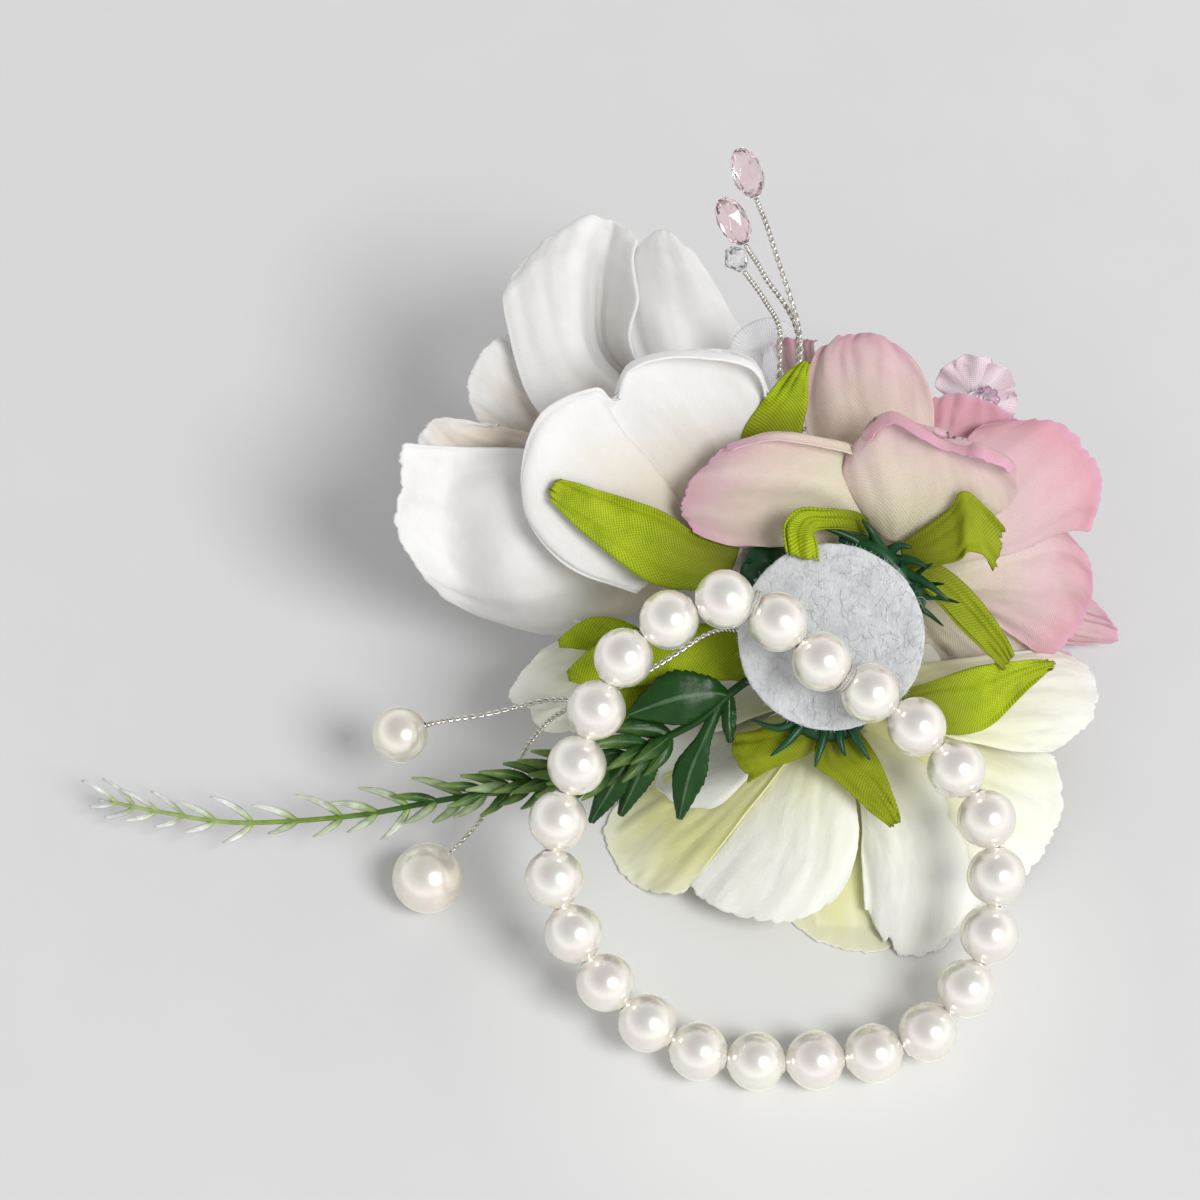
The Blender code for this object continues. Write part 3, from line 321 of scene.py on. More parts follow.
CREAM_NETS = {
    0: (
        ((1, -15.4, -8.5), (-1, -15.4, -9), (-3, -14.7, -10), (-4.9, -13.6, -11.5)),
        ((4, -23.7, -6.5), (-1.9, -23.8, -7), (-8.1, -22.5, -10), (-12.1, -20.3, -14.5)),
        ((3.8, -31.4, -5.5), (-3.3, -32.8, -6), (-13, -30.3, -10.5), (-18.8, -25.8, -17)),
        ((0.9, -37.8, -6.5), (-7.5, -40.7, -7.5), (-17.9, -37.3, -12), (-22.4, -30.8, -17)),
    ),
    1: (
        ((5.6, -13.4, -11.5), (3.6, -14.7, -10.5), (1.9, -15.4, -10), (-0.4, -15.7, -9.8)),
        ((17.1, -19.9, -14), (12.6, -21.9, -11), (8.2, -23.2, -9.5), (4.4, -23.2, -10)),
        ((24.5, -29.3, -16.5), (18.3, -31.9, -12), (11, -33.1, -9.5), (4.8, -31.8, -11)),
        ((23.2, -38.7, -17), (17, -44.8, -13), (10.5, -45.8, -11.5), (5.7, -39.7, -12.5)),
    ),
    2: (
        ((-3.2, -14.6, -10), (-4.3, -13.5, -11.5), (-5.1, -12.3, -13), (-5.3, -10.9, -14.5)),
        ((-9.5, -23.2, -10), (-12.9, -21.3, -13), (-14.6, -18.2, -17), (-14.1, -14.4, -20.5)),
        ((-17.2, -33, -12), (-22.8, -30, -16.5), (-24.9, -24.6, -21), (-21.9, -19, -25)),
        ((-20.7, -37.3, -13.5), (-27.8, -35.9, -18), (-31.7, -29, -22.5), (-27.5, -21.9, -26)),
    ),
    3: (
        ((6.4, -10.1, -13.5), (6, -11.8, -12.5), (4.8, -13.4, -11.5), (3.3, -14.5, -11)),
        ((16.8, -13.3, -18), (16.5, -17.1, -15), (14.1, -21.2, -12.5), (9.8, -24, -11.5)),
        ((27.4, -15.5, -23), (27.6, -22.2, -18), (23.5, -28.4, -14), (17, -31.9, -13)),
        ((34.7, -17.5, -25.5), (34.7, -26, -20.5), (29.5, -34.3, -16), (21.5, -37.8, -15)),
    ),
    4: (
        ((5.2, -6.9, -15.5), (6.3, -8, -14.5), (6.8, -9.4, -13.5), (6.8, -10.8, -13)),
        ((14.3, -4.3, -22), (17.6, -7.1, -19.5), (18.8, -10.7, -17), (17.6, -14.6, -15)),
        ((26.5, -2.9, -28), (31.4, -5.1, -25.5), (32.2, -11.1, -20.5), (28.2, -16.7, -17)),
        ((34.9, -1.9, -30), (40, -4.9, -28), (39.6, -12, -22.5), (33.5, -16.8, -19)),
    ),
    5: (
        ((2.8, -15.1, -12), (1, -15.5, -12.2), (-0.8, -15.5, -12.4), (-2.5, -15, -12.8)),
        ((7.8, -24.8, -13), (3.5, -25.5, -13), (-1.5, -25.1, -13.4), (-5, -23.5, -14.4)),
        ((11.4, -36.3, -14), (5.7, -37.7, -13.5), (-1.5, -37, -13.8), (-7.8, -33.6, -15.5)),
        ((12.2, -44.9, -14.6), (6.4, -46.6, -14.4), (0, -45.7, -14.8), (-6.4, -40.8, -16)),
    ),
}
BUD_NETS = {
    0: (
        ((-30.4, -5.7, -14), (-30.6, -4, -14.3), (-30.2, -2.6, -15), (-29.4, -1.5, -16)),
        ((-35.7, -9.2, -14), (-36.9, -5.6, -13), (-35.3, -1.7, -14.5), (-33.3, -0.1, -17)),
        ((-40.7, -10.9, -14.5), (-45.3, -8.9, -13.8), (-42.2, -3.7, -14.5), (-36.8, 0.1, -17.5)),
    ),
    1: (
        ((-28.4, -6.9, -16.7), (-29.4, -6.6, -15.5), (-30.2, -5.8, -14.8), (-30.4, -4.5, -14.5)),
        ((-32.2, -11.6, -20), (-35, -11, -17), (-36.5, -8.8, -14.8), (-36.7, -5.2, -14.2)),
        ((-34.3, -13.4, -21.5), (-38.9, -13.9, -19), (-41.8, -12.4, -16), (-42.2, -7.8, -15)),
    ),
}
WHITE_LEAF_NETS = (
    (
        ((-12.4, 12.9, -8), (-13.1, 10.5, -7.5), (-14.5, 7.7, -8)),
        ((-18.1, 14.3, -6.5), (-18.8, 10.7, -5.5), (-18.1, 6.5, -6.5)),
        ((-23, 17.3, -5.5), (-24.5, 12.8, -4.2), (-25.1, 7.5, -5.5)),
        ((-28.7, 19.4, -4.5), (-30.5, 15.6, -3), (-31.5, 12.1, -4.2)),
        ((-34.3, 21.2, -3), (-35.6, 18.4, -1.6), (-36.4, 16.3, -2.5)),
        ((-38, 21.9, -1.8), (-39.3, 20.9, -1), (-39.1, 19.1, -1.6)),
    ),
    (
        ((-11.7, 22.1, -9), (-8.1, 22.4, -8.6), (-4.6, 22.4, -9)),
        ((-12.2, 28.4, -8.2), (-8.5, 29.4, -7.2), (-3.9, 27.7, -8)),
        ((-9, 33.1, -7.6), (-6.1, 33.3, -6.4), (-3, 32.7, -7)),
        ((-6, 36.7, -7), (-4.3, 36.6, -6), (-2.9, 35.8, -6.4)),
        ((-3.4, 38.6, -6.5), (-3.2, 38.7, -6.2), (-2.9, 38.5, -6.4)),
    ),
)
PINK_LEAF_NETS = (
    (
        ((5.6, 16.7, -7), (5.6, 14.1, -7)),
        ((2.9, 17.7, -4), (2.6, 14.9, -4)),
        ((-0.8, 17.8, -1.5), (-0.9, 15, -1.5)),
        ((-4.7, 17.6, 0.6), (-2.2, 14.6, 0.6)),
        ((-6.7, 15.4, 1.3), (-2.1, 13.2, 1.3)),
        ((-6.2, 11.1, 1.1), (-1.8, 10.4, 1.1)),
    ),
    (
        ((10.1, 12.9, -6.5), (10.3, 11.3, -6), (10.8, 9.6, -6.5)),
        ((13.4, 15.4, -5), (14.3, 12.8, -4), (14.9, 9.9, -5)),
        ((16.8, 18, -3), (17.4, 14.9, -2.4), (17.9, 10.6, -3.6)),
        ((18.5, 20.3, -0.8), (18.8, 16.5, -0.6), (18.9, 11.8, -1.8)),
        ((21.6, 18.1, -2.6), (21.4, 14.9, -2.2), (21.5, 11.3, -2.6)),
        ((24.8, 14.9, -5), (24, 12.1, -4.4), (23.3, 9, -4.2)),
    ),
    (
        ((10.6, 11.9, -7.5), (10.1, 7.9, -7.5)),
        ((16, 9.9, -7), (14.1, 6, -7)),
        ((21.1, 5.7, -8.5), (18.3, 1.7, -8.5)),
        ((25.2, 0.3, -10.5), (22.3, -2, -10.5)),
        ((26.7, -2.7, -11.5), (25.3, -5, -11.8)),
    ),
)
CREAM_LEAF_NETS = (
    (
        ((10.1, -7.6, -7), (10.8, -9.7, -6.5), (12.2, -12.1, -7)),
        ((15.2, -6.2, -8.5), (15.8, -9, -7.5), (17, -14, -8.5)),
        ((21.1, -4.5, -11), (21.7, -8.3, -10), (22.5, -13.1, -11)),
        ((27.6, -3.6, -14.5), (27.5, -5.6, -14), (27.9, -8.5, -14.5)),
        ((32.8, -3.5, -17.5), (33.1, -4.1, -17.3), (32.6, -4.9, -17.5)),
    ),
    (
        ((-1.2, -12.1, -6.5), (-0.9, -13.9, -6), (-0.7, -15.4, -5.5)),
        ((-4.6, -12.1, -6.5), (-4.5, -14.8, -4.6), (-4.1, -17.1, -5)),
        ((-7.9, -12.2, -7.2), (-8.3, -15.4, -5), (-7.4, -18.5, -5.8)),
        ((-10.7, -13.2, -8), (-11.3, -16.3, -6.4), (-9.6, -19.7, -7)),
        ((-12.6, -13.8, -9), (-13.4, -16.3, -8.2), (-11.2, -20.7, -8.5)),
    ),
    (
        ((-1.3, -13.8, -5.2), (0.8, -13.4, -5), (4.1, -13.1, -5.5)),
        ((-2, -18, -4.8), (1.7, -16.6, -4), (5.4, -14.8, -4.8)),
        ((1.2, -20.5, -4.2), (4.2, -18.9, -3.2), (7.1, -17.6, -4.2)),
        ((5.3, -24, -3.6), (6.9, -22.1, -2.6), (8.3, -20.9, -3.6)),
        ((8.8, -26.5, -3.2), (9.5, -26.2, -2.8), (9.9, -25.6, -3.2)),
    ),
)

# A calyx is a cup behind the bloom on a stub that reaches the glue, with spikes round its rim
Calyx = namedtuple("Calyx", "stub reach tip turns")
CUP_OUTLINE = (
    (1.5, -8.7), (1.8, -8.25), (2.6, -7.8), (3.4, -6.9), (4.1, -5.8), (4.4, -5.1), (4.45, -4.5),
    (4.2, -4.2), (0, -4.2),
)
CUP_SIDES = 36
SPIKE_ROOT = ((3.0, -5.6), (3.9, -5.0))
SPIKE_RADIUS = 0.75
SHOWN_SPIKE_RADIUS = 0.9
COLLAR_RADIUS = 1.6
WHITE_CALYX = Calyx(11.3, 7.5, -6.6, (100, 145, 235, 280))
PINK_CALYX = Calyx(8.6, 9.0, -6.6, (8, 36, 62, 88, 120, 160, 200))
CREAM_CALYX = Calyx(8.6, 9.6, -1.6, (128, 150, 184, 210, 240))

# The spikes of the calyxes that show past the disc, and the thick collars that they grow from
PINK_SPIKES = (
    ((5.4, 12.4, -5), (2.2, 14.2, -4), (-1.1, 15.3, -3.2)),
    ((7.1, 12.4, -5), (5.9, 14.6, -3.6), (4.5, 16.4, -3.2)),
    ((8.5, 11.9, -5), (9.8, 12.8, -3.8), (11.5, 12.4, -3.4)),
    ((9.4, 10.7, -5), (11.5, 10.7, -3.6), (14, 9.5, -3)),
    ((10.2, 9.1, -5), (13.3, 7.6, -3.4), (16.5, 5.1, -3)),
    ((10.6, 7.2, -5), (12.1, 5.5, -3.6), (13.4, 3.2, -3.4)),
)
CREAM_SPIKES = (
    ((-4.1, -11, -4), (-7, -12.8, -3.4), (-10.8, -11.7, -3.4)),
    ((-3.4, -11.7, -4), (-5.9, -14.7, -3), (-8.4, -16.7, -2.6)),
    ((-0.5, -12, -4), (-1.2, -15.1, -2.6), (-2.2, -18.2, -2)),
    ((1.2, -12, -4), (1.4, -14.7, -2.8), (2.1, -16.7, -2.6)),
    ((2.6, -12, -4), (3.9, -14.7, -2.6), (5.5, -17.2, -2.2)),
)
PINK_COLLAR = (((1.3, 13.5, -5.2), (6, 12.4, -5), (9.9, 8.6, -5), (11.1, 5.1, -5.2)),)
CREAM_COLLAR = (((-5.5, -12, -5), (0.2, -13.3, -4.8), (4.6, -12, -5)),)

# Sepals without a net: the route of each midrib as (right, up, out, width). The olive one of the
# cream bloom starts at the hub in the middle of the bloom's back
SEPAL_STARTS = (1.5, 5.6)
SEPAL_ROOT_WIDTH = 4.4
SEPAL_THICK = 0.65
OLIVE_SEPAL = (
    (-10.5, -3.4, -8.9, 6.5), (-18.1, -2.1, -8.6, 8.5), (-25.1, -2.8, -7.8, 8),
    (-32.2, -4.4, -7.4, 6), (-36.7, -5.6, -7.5, 1.2),
)
BUD_SEPALS = (
    ((-24.4, -3.7, -12.6, 3), (-28, -1, -10.4, 5), (-33, 0.2, -10.2, 5), (-38, -1, -9.8, 1)),
    ((-24.4, -4.2, -12.6, 3), (-27, -8, -10.8, 4.5), (-30.5, -10.6, -10.6, 4), (-34, -13, -10, 1)),
)
BUD_STEM = ((-6.5, 3, -5.4), (-11.5, 3.2, -9.8), (-18, -0.6, -13), (-24.6, -3.6, -12.9))

# Plastic sprig: a stem with whorls of small leaves, and larger leaves near its root
SPRIG_STEM = (
    (-4.5, -2, -5.1), (-9, -4.6, -5.7), (-13.2, -7.5, -6.3), (-18.1, -11.7, -6.1),
    (-25.1, -15.3, -6.4), (-32.2, -18.9, -6.7), (-38.9, -20, -7.8), (-47, -21.8, -8.4),
    (-56.1, -23.5, -9.7), (-67.6, -25.6, -11.5), (-83.7, -26.7, -14.3), (-95.3, -25.3, -16.8),
    (-102.5, -24, -18.7),
)
SPRIG_STEM_RADIUS = 0.7
SPRIG_WHORLS = 22
SPRIG_SPAN = (0.3, 0.985)
SPRIG_LEAF = (8.6, 5.6)
SPRIG_LEAF_WIDTHS = (0.06, 0.25, 0.27, 0.16, 0.015)
SPRIG_LEAF_SCALES = (0.8, 1.08, 0.8, 0.9)
SPRIG_LEANS = 40.0
SPRIG_LEAVES = (
    ((-14.2, -8.3, -6, 1.5), (-17, -8, -4.9, 5), (-22, -8.8, -4.4, 7.4), (-28.2, -11, -4.6, 0.8)),
    ((-15.5, -9.6, -6, 1.5), (-17.5, -14.3, -5.2, 2), (-19.6, -19.5, -6, 4.6),
     (-21, -25.8, -7.4, 0.8)),
    ((-14, -8.6, -6.2, 1.5), (-14, -12, -6.2, 2), (-13.8, -15, -6.4, 0.6)),
    ((-24.4, -15.2, -6.4, 1.5), (-26.4, -19, -6.6, 4.2), (-29.3, -25.4, -8.8, 0.8)),
    ((-28.4, -17, -6.5, 1.5), (-30.4, -21, -6.3, 3.8), (-33.5, -26.4, -9.3, 0.8)),
    ((-22.5, -14, -6.3, 1.5), (-26, -12.6, -5.6, 3), (-30, -13, -5.4, 0.8)),
)

# Wire sprays
WIRE_PITCH = 1.7
WIRE_WANDER = 0.12
STRANDS_APART = 0.98
PEARL_SPRAY = (
    ((-6, 0, -4.9), (-9.8, -0.2, -4.9), (-13, 0.8, -3.5), (-17, 0.4, -2.8), (-23.5, -3.6, -3.2),
     (-28.5, -6.6, -5.4), (-33.6, -8.8, -8.8), (-40, -9.1, -10.6), (-48, -11, -11.3),
     (-55, -12.2, -12.4), (-58.2, -13.1, -12.9)),
    ((-33.6, -8.8, -8.8), (-38.6, -11.4, -11.3), (-42.1, -15.1, -13.4), (-45.8, -21.4, -15.6),
     (-49.3, -26.4, -14.5), (-54.2, -31.8, -13.2)),
)
SPRAY_PEARL_HOLE = 0.5
SPRAY_PEARL_SIDES = 44
SMALL_SPRAY_PEARL = ((-60.7, -14.1, -13.3), 8.0)
LARGE_SPRAY_PEARL = ((-56.8, -34.5, -12.7), 10.0)
CRYSTAL_SPRAY = (
    ((-1, 1.5, -4.9), (-2.2, 6, -9.6), (-3.8, 12, -11.8), (-5.6, 20, -12.5), (-5, 30, -10.8),
     (-3.8, 42.4, -10.9), (-7.4, 54.7, -9.9), (-10, 61.9, -9.4)),
    ((-5.6, 20, -12.5), (-5.4, 30, -11.8), (-4, 42.8, -12.3), (-8.8, 51.2, -10.9),
     (-11.5, 55.4, -10.3)),
    ((-5.6, 20, -12.5), (-7, 30, -11.6), (-6.6, 42.8, -12), (-8.7, 47.8, -12),
     (-11.6, 51.8, -11.8)),
    ((-5.3, 25, -11.8), (-4.6, 28, -14.5), (-1, 30.5, -18.5), (8, 32.4, -20.5), (16, 32.4, -19),
     (21.2, 32.8, -15.6)),
)
PINK_CRYSTALS = (
    ((-10, 61.9, -9.4), (-11.4, 65.8, -9.4)),
    ((-11.5, 55.4, -10.3), (-13.2, 58.6, -9.8)),
)
CLEAR_CRYSTAL = ((-11.6, 51.8, -11.8), (-13, 53.9, -11.7))
LONG_CUT = ((0.7, -3.6), (1.7, -2.5), (2.2, -1.1), (2.2, 1.1), (1.7, 2.5), (0.7, 3.6))
SHORT_CUT = ((0.6, -1.9), (1.5, -0.9), (1.9, 0.0), (1.5, 0.9), (0.6, 1.9))
BLOSSOM_BEADS = 9
BLOSSOM_BEAD = 0.62
BEAD_RING = 1.5
RIBBON = (
    (-6.8, 22, -13.4, 3), (-8, 30, -14.8, 4.6), (-10.6, 37, -17.4, 5), (-11, 41.4, -18.8, 5),
    (-8, 43.4, -19.2, 5), (-6, 42.2, -17.4, 5), (-6.8, 38, -15.6, 4.6), (-7.8, 31, -13.4, 3.4),
)

# How the threads of the petals and leaves slant, how many metres the organza's are apart, and
# which ways the felt's fibres lie
PETAL_SLANT = 35
LEAF_SLANT = 32
ORGANZA_PITCH = 0.0003
FIBRE_TURNS = (12, 47, 83, 118, 155)

# The camera stands where the photographer's did: its place in the plan, and its lens
CAMERA = Vector((-29.861, -194.671, 468.957))
CAMERA_PITCH = 60.0
CAMERA_LENS = 108.0
# Painted light: the table top is painted lighter inside the ring, standing in for the light that
# the petals throw on it
PAINTED_LIGHT_MIDDLE = Vector((-2.0, 16.0, 0.0))
PAINTED_LIGHT_REACH = 0.052
# The light, in the metres of the frame: a wide lamp, and a sky that fades from its foot upwards
LAMP_PLACE = (1.0, -0.84, 1.64)
LAMP_WIDTH = 0.98
LAMP_POWER = 28.5
SKY_STRENGTH = 1.06
SKY_FADE = ((0.25, 1.0), (0.85, 0.3))


def paint(red, green, blue):
    """A colour as the eye reads it, from 0 to 255 a channel, as the shaders want it."""
    return tuple(
        part / 12.92 if part <= 0.04045 else ((part + 0.055) / 1.055) ** 2.4
        for part in (red / 255, green / 255, blue / 255)
    )


def scaled(shade, *shares):
    """A colour with its channels multiplied: all by one share, or each by its own."""
    return tuple(min(1, part * share) for part, share in zip(shade, shares * (3 // len(shares))))


def length(name, default, description):
    return bpy.props.FloatProperty(
        name=name, description=description, default=default, min=0.0, precision=5,
        subtype="DISTANCE", unit="LENGTH",
    )


def colour(name, red, green, blue, description):
    return bpy.props.FloatVectorProperty(
        name=name, description=description, default=paint(red, green, blue), min=0.0, max=1.0,
        size=3, subtype="COLOR",
    )


class CorsageSizes(bpy.types.PropertyGroup):
    """Sizes that can be changed without moving a piece from its place."""

    pearl: length("Bracelet pearl", 0.00818, "Width of a bracelet pearl")
    bore: length("Pearl bore", 0.0012, "Width of the hole through a bracelet pearl")
    elastic: length("Elastic", 0.0006, "Width of the clear cord through the pearls")
    thread: length("Stitching thread", 0.0004, "Width of the thread that ties the bracelet down")
    satin: length("White cloth", 0.0004, "Thickness of the white petals' soft cloth")
    silk: length("Silk", 0.00024, "Thickness of the pink and cream petals' cloth")
    leaf: length("Leaf cloth", 0.0003, "Thickness of the green leaves' cloth")
    weave: length("Leaf weave", 0.00034, "Distance between the threads of the leaves' cloth")
    fine_weave: length("Petal weave", 0.00026, "Distance between the threads of the petals' cloth")
    strand: length("Wire strand", 0.00042, "Width of one of the two strands of a twisted wire")
    plastic: length("Sprig leaf", 0.0003, "Thickness of the sprig's plastic leaves")
    ribbon: length("Ribbon", 0.0001, "Thickness of the organza ribbon")
    organza: length("Blossom cloth", 0.00012, "Thickness of the small blossom's petals")


class CorsageColours(bpy.types.PropertyGroup):
    """Colours of the finishes."""

    pearl: colour("Pearl", 241, 239, 235, "Body of the pearls")
    felt: colour("Felt", 199, 201, 203, "Felt of the disc")
    white: colour("White", 228, 227, 226, "White petals")
    # White root: partly the cloth's own beige and partly painted shade, which the back petals take
    # all over
    white_root_and_shade: colour("White root", 220, 208, 194, "White petals at their roots")
    pink: colour("Pink", 214, 180, 185, "Outer half of the pink petals")
    pink_rim: colour("Pink rim", 213, 153, 167, "Rim of the pink petals")
    pink_heart: colour("Pink root", 217, 208, 184, "Roots of the pink petals")
    cream: colour("Cream", 241, 240, 225, "Cream petals")
    # Cream root: partly the cloth's own tint and partly painted shade, yellow-green as if lit
    # through the cloth
    cream_root_and_shade: colour("Cream root", 226, 226, 160, "Roots of the cream petals")
    leaf: colour("Leaf", 188, 203, 18, "Thread of the green leaves")
    leaf_gap: colour("Leaf shade", 124, 146, 10, "Between the threads of the green leaves")
    calyx: colour("Calyx", 12, 58, 28, "Moulded calyxes")
    sprig: colour("Sprig", 28, 68, 22, "Sprig near its root")
    sprig_tip: colour("Sprig tip", 242, 243, 238, "Leaf tips at the sprig's end")
    floor: colour("Table", 217, 217, 218, "Table top")


def sizes():
    return bpy.context.scene.corsage_sizes


def tint(name):
    """One of the colours of the panel."""
    return tuple(getattr(bpy.context.scene.corsage_colours, name))


# Places in the plan


def from_disc(right, up, out):
    """A point of the plan, counted from the middle of the disc's outer face."""
    return DISC_MIDDLE + right * RIGHT + up * UP + out * OUT


def to_disc(place):
    """The same, the other way round."""
    away = place - DISC_MIDDLE
    return Vector((away.dot(RIGHT), away.dot(UP), away.dot(OUT)))


def in_frame(place):
    """The plan's point in the metres of the frame."""
    return (place + SHIFT) * MM


def smooth(before, start, end, after, t):
    """Point at t, from 0 to 1, of the smooth curve from start to end."""
    return 0.5 * (
        2 * start + (end - before) * t + (2 * before - 5 * start + 4 * end - after) * t * t
        + (3 * start - before - 3 * end + after) * t ** 3
    )


def smooth_closed(points, share):
    """Point of the smooth closed curve through these points, at this share of the way round."""
    count = len(points)
    index = math.floor(share * count)
    four = [points[(index + step) % count] for step in (-1, 0, 1, 2)]
    return smooth(*four, share * count - index)


def smooth_open(points, share):
    """Point of the smooth curve through these points, at this share of the way from end to end."""
    last = len(points) - 1
    index = min(math.floor(share * last), last - 1)
    four = [Vector(points[min(max(index + step, 0), last)]) for step in (-1, 0, 1, 2)]
    return smooth(*four, share * last - index)


def run_of(points, share):
    """Unit direction of that curve there."""
    return (
        smooth_open(points, min(share + 0.01, 1)) - smooth_open(points, max(share - 0.01, 0))
    ).to_3d().normalized()


def marks_along(places):
    """How far along a line of places each of them is."""
    marks = [0.0]
    for here, there in zip(places, places[1:]):
        marks.append(marks[-1] + (there - here).length)
    return marks


def length_of(points, steps=60):
    """How long the smooth curve through these points is."""
    return marks_along([smooth_open(points, step / steps).to_3d() for step in range(steps + 1)])[-1]


def bracelet_path(count):
    """Evenly spaced points round the middle line of the bracelet."""
    lean = math.radians(RING_LEAN)
    route = [
        Vector((
            x, far * math.cos(lean) - off * math.sin(lean),
            SOLID_PEARL_WIDTH / 2 + far * math.sin(lean) + off * math.cos(lean),
        ))
        for x, far, off in RING_ROUTE
    ]
    steps = 80 * len(route)
    fine = [smooth_closed(route, step / steps) for step in range(steps + 1)]
    marks = marks_along(fine)
    path, index = [], 0
    for step in range(count):
        wanted = marks[-1] * step / count
        while marks[index + 1] < wanted:
            index += 1
        part = (wanted - marks[index]) / (marks[index + 1] - marks[index])
        path.append(fine[index].lerp(fine[index + 1], part))
    return path


def ripple(*place):
    """Smooth noise from -1 to 1 at this place."""
    return noise.noise(Vector(place))


def near_edge(u, v):
    """How near a petal's cut edges a point is, from 0 to 1."""
    return max(abs(u) ** 4 * min(1, 2 * v), v ** 5)


def petal_point(petal, root, u, v, seed, ruffle):
    """Where a flat petal's point goes: along the bloom's radius, along its axis, and sideways.

    u runs from -1 to 1 across the petal and v from 0 at its root to 1 at its rim. Seed and
    ruffle set how its rim is cut and how far its cloth waves. The point's place on the flat
    cloth, across and along, comes with it."""
    rim = 1 - RIM_ROUND * abs(u) ** 3
    rim += 0.022 * ripple(u * 2.3, seed, 0.5) + 0.012 * ripple(u * 9.0, seed, 4.5)
    rim += 0.006 * ripple(u * 24.0, seed, 9.5)
    reach = root + (petal.length - root) * v
    reach *= 1 + (rim - 1) * v * v
    angle = math.radians(petal.spread) * u
    edge_cut = 1 + 0.02 * ripple(v * 9.0, seed, u) * abs(u) ** 3 * v
    along = reach * math.cos(angle)
    across = reach * math.sin(angle) * (1 + 4 * BELLY * v * (1 - v)) * edge_cut
    half = petal.length * math.sin(math.radians(petal.spread))
    t = across / half
    bend = math.radians(petal.cup)
    sideways = half * math.sin(bend * t) / bend
    outward = v * v * math.sin(2.2 * math.pi * u) - half * ((1 - math.cos(bend * t)) / bend)
    scale = petal.length / 35
    outward += ruffle * scale * 1.1 * near_edge(u, v) * ripple(u * 2.6 + 7, v * 2.2, seed + 3.3)
    outward += ruffle * scale * 0.8 * v * ripple(u * 1.7, v * 1.9 + 5, seed + 8.1)
    outward += 0.13 * scale * math.sin(21 * u + 5 * ripple(v * 2, u * 3, seed)) * v * (1 - v) * 2
    lip = max(0.0, v - 0.9) / 0.1
    outward += ruffle * 0.35 * scale * lip ** 2 * (0.6 + ripple(u * 2.0, seed, 2.0))
    start, end = math.radians(petal.lean), math.radians(petal.flare)
    curve = (end - start) / petal.length
    lean = start + curve * along
    radial = (math.cos(start) - math.cos(lean)) / curve + outward * math.cos(lean)
    axial = (math.sin(lean) - math.sin(start)) / curve - outward * math.sin(lean)
    return radial, axial, sideways, (across, along)


def net_sheet(net, steps=44):
    """The smooth sheet through a net's rows of points: a table of places, rows first."""
    lines = [[smooth_open(row, step / steps) for step in range(steps + 1)] for row in net]
    return [
        [smooth_open(column, step / steps) for column in zip(*lines)]
        for step in range(steps + 1)
    ]


def on_sheet(sheet, u, v):
    """Point of that sheet, with u from -1 to 1 across it and v from 0 to 1 along it."""
    last = len(sheet) - 1
    x, y = min(max((u + 1) / 2, 0), 1) * last, min(max(v, 0), 1) * last
    column, row = min(int(x), last - 1), min(int(y), last - 1)
    x, y = x - column, y - row
    near = sheet[row][column].lerp(sheet[row][column + 1], x)
    far = sheet[row + 1][column].lerp(sheet[row + 1][column + 1], x)
    return near.lerp(far, y)


def sheet_point(sheet, long, seed, ruffle, corner, fray, u, v):
    """Where a point of a petal or leaf with a net goes, in the plan, and its place when flat."""
    reach = 0.985 - corner * u ** 4
    reach += 0.016 * ripple(u * 2.3, seed, 0.5) + 0.010 * ripple(u * 9.0, seed, 4.5)
    reach += fray * (0.016 * ripple(u * 22.0, seed, 9.5) + 0.014 * ripple(u * 47.0, seed, 2.5))
    reach -= fray * 0.07 * max(0.0, ripple(u * 7.0, seed, 17.5) - 0.3)
    side = u * (1 - 0.012 * fray * u * u * (
        1 + ripple(v * 9.0, seed, u) + 0.8 * ripple(v * 31.0, seed, u)
    ))
    v *= 1 + (min(reach, 1) - 1) * v * v
    spot = on_sheet(sheet, side, v)
    across = on_sheet(sheet, side + 0.05, v) - on_sheet(sheet, side - 0.05, v)
    along = on_sheet(sheet, side, v + 0.05) - on_sheet(sheet, side, v - 0.05)
    facing = across.cross(along).normalized()
    if facing.z < 0:
        facing = -facing
    wide = (spot - on_sheet(sheet, 0, v)).length
    lift = ruffle * 0.6 * near_edge(u, v) * ripple(u * 3.1 + 7, v * 2.2, seed + 3.3)
    lift += ruffle * 0.45 * v * ripple(u * 1.9, v * 2.3 + 5, seed + 8.1)
    lift += ruffle * 1.1 * v * (1.2 - v) * ripple(u * 4.2 + ripple(v, u, seed), v * 0.9, seed)
    lift += ruffle * 0.2 * v * ripple(u * 7, v * 6, seed + 5.5)
    return from_disc(*(spot + facing * lift)), (math.copysign(wide, u), long * v)


def from_net(net, seed, ruffle, fray, corner=0.05):
    """The point function of a petal or leaf that has a net."""
    long = length_of([row[len(row) // 2] for row in net], 12)
    return partial(sheet_point, net_sheet(net), long, seed, ruffle, corner, fray)


def bloom_frame(bloom):
    """Base point, facing direction, and the two directions that a petal's turn is counted from."""
    toward, tilt = math.radians(bloom.toward), math.radians(bloom.tilt)
    sideways = UP * math.cos(toward) + RIGHT * math.sin(toward)
    facing = sideways * math.sin(tilt) - OUT * math.cos(tilt)
    top = (UP - facing * UP.dot(facing)).normalized()
    return from_disc(*bloom.base), facing, top, facing.cross(top)


# Finishes


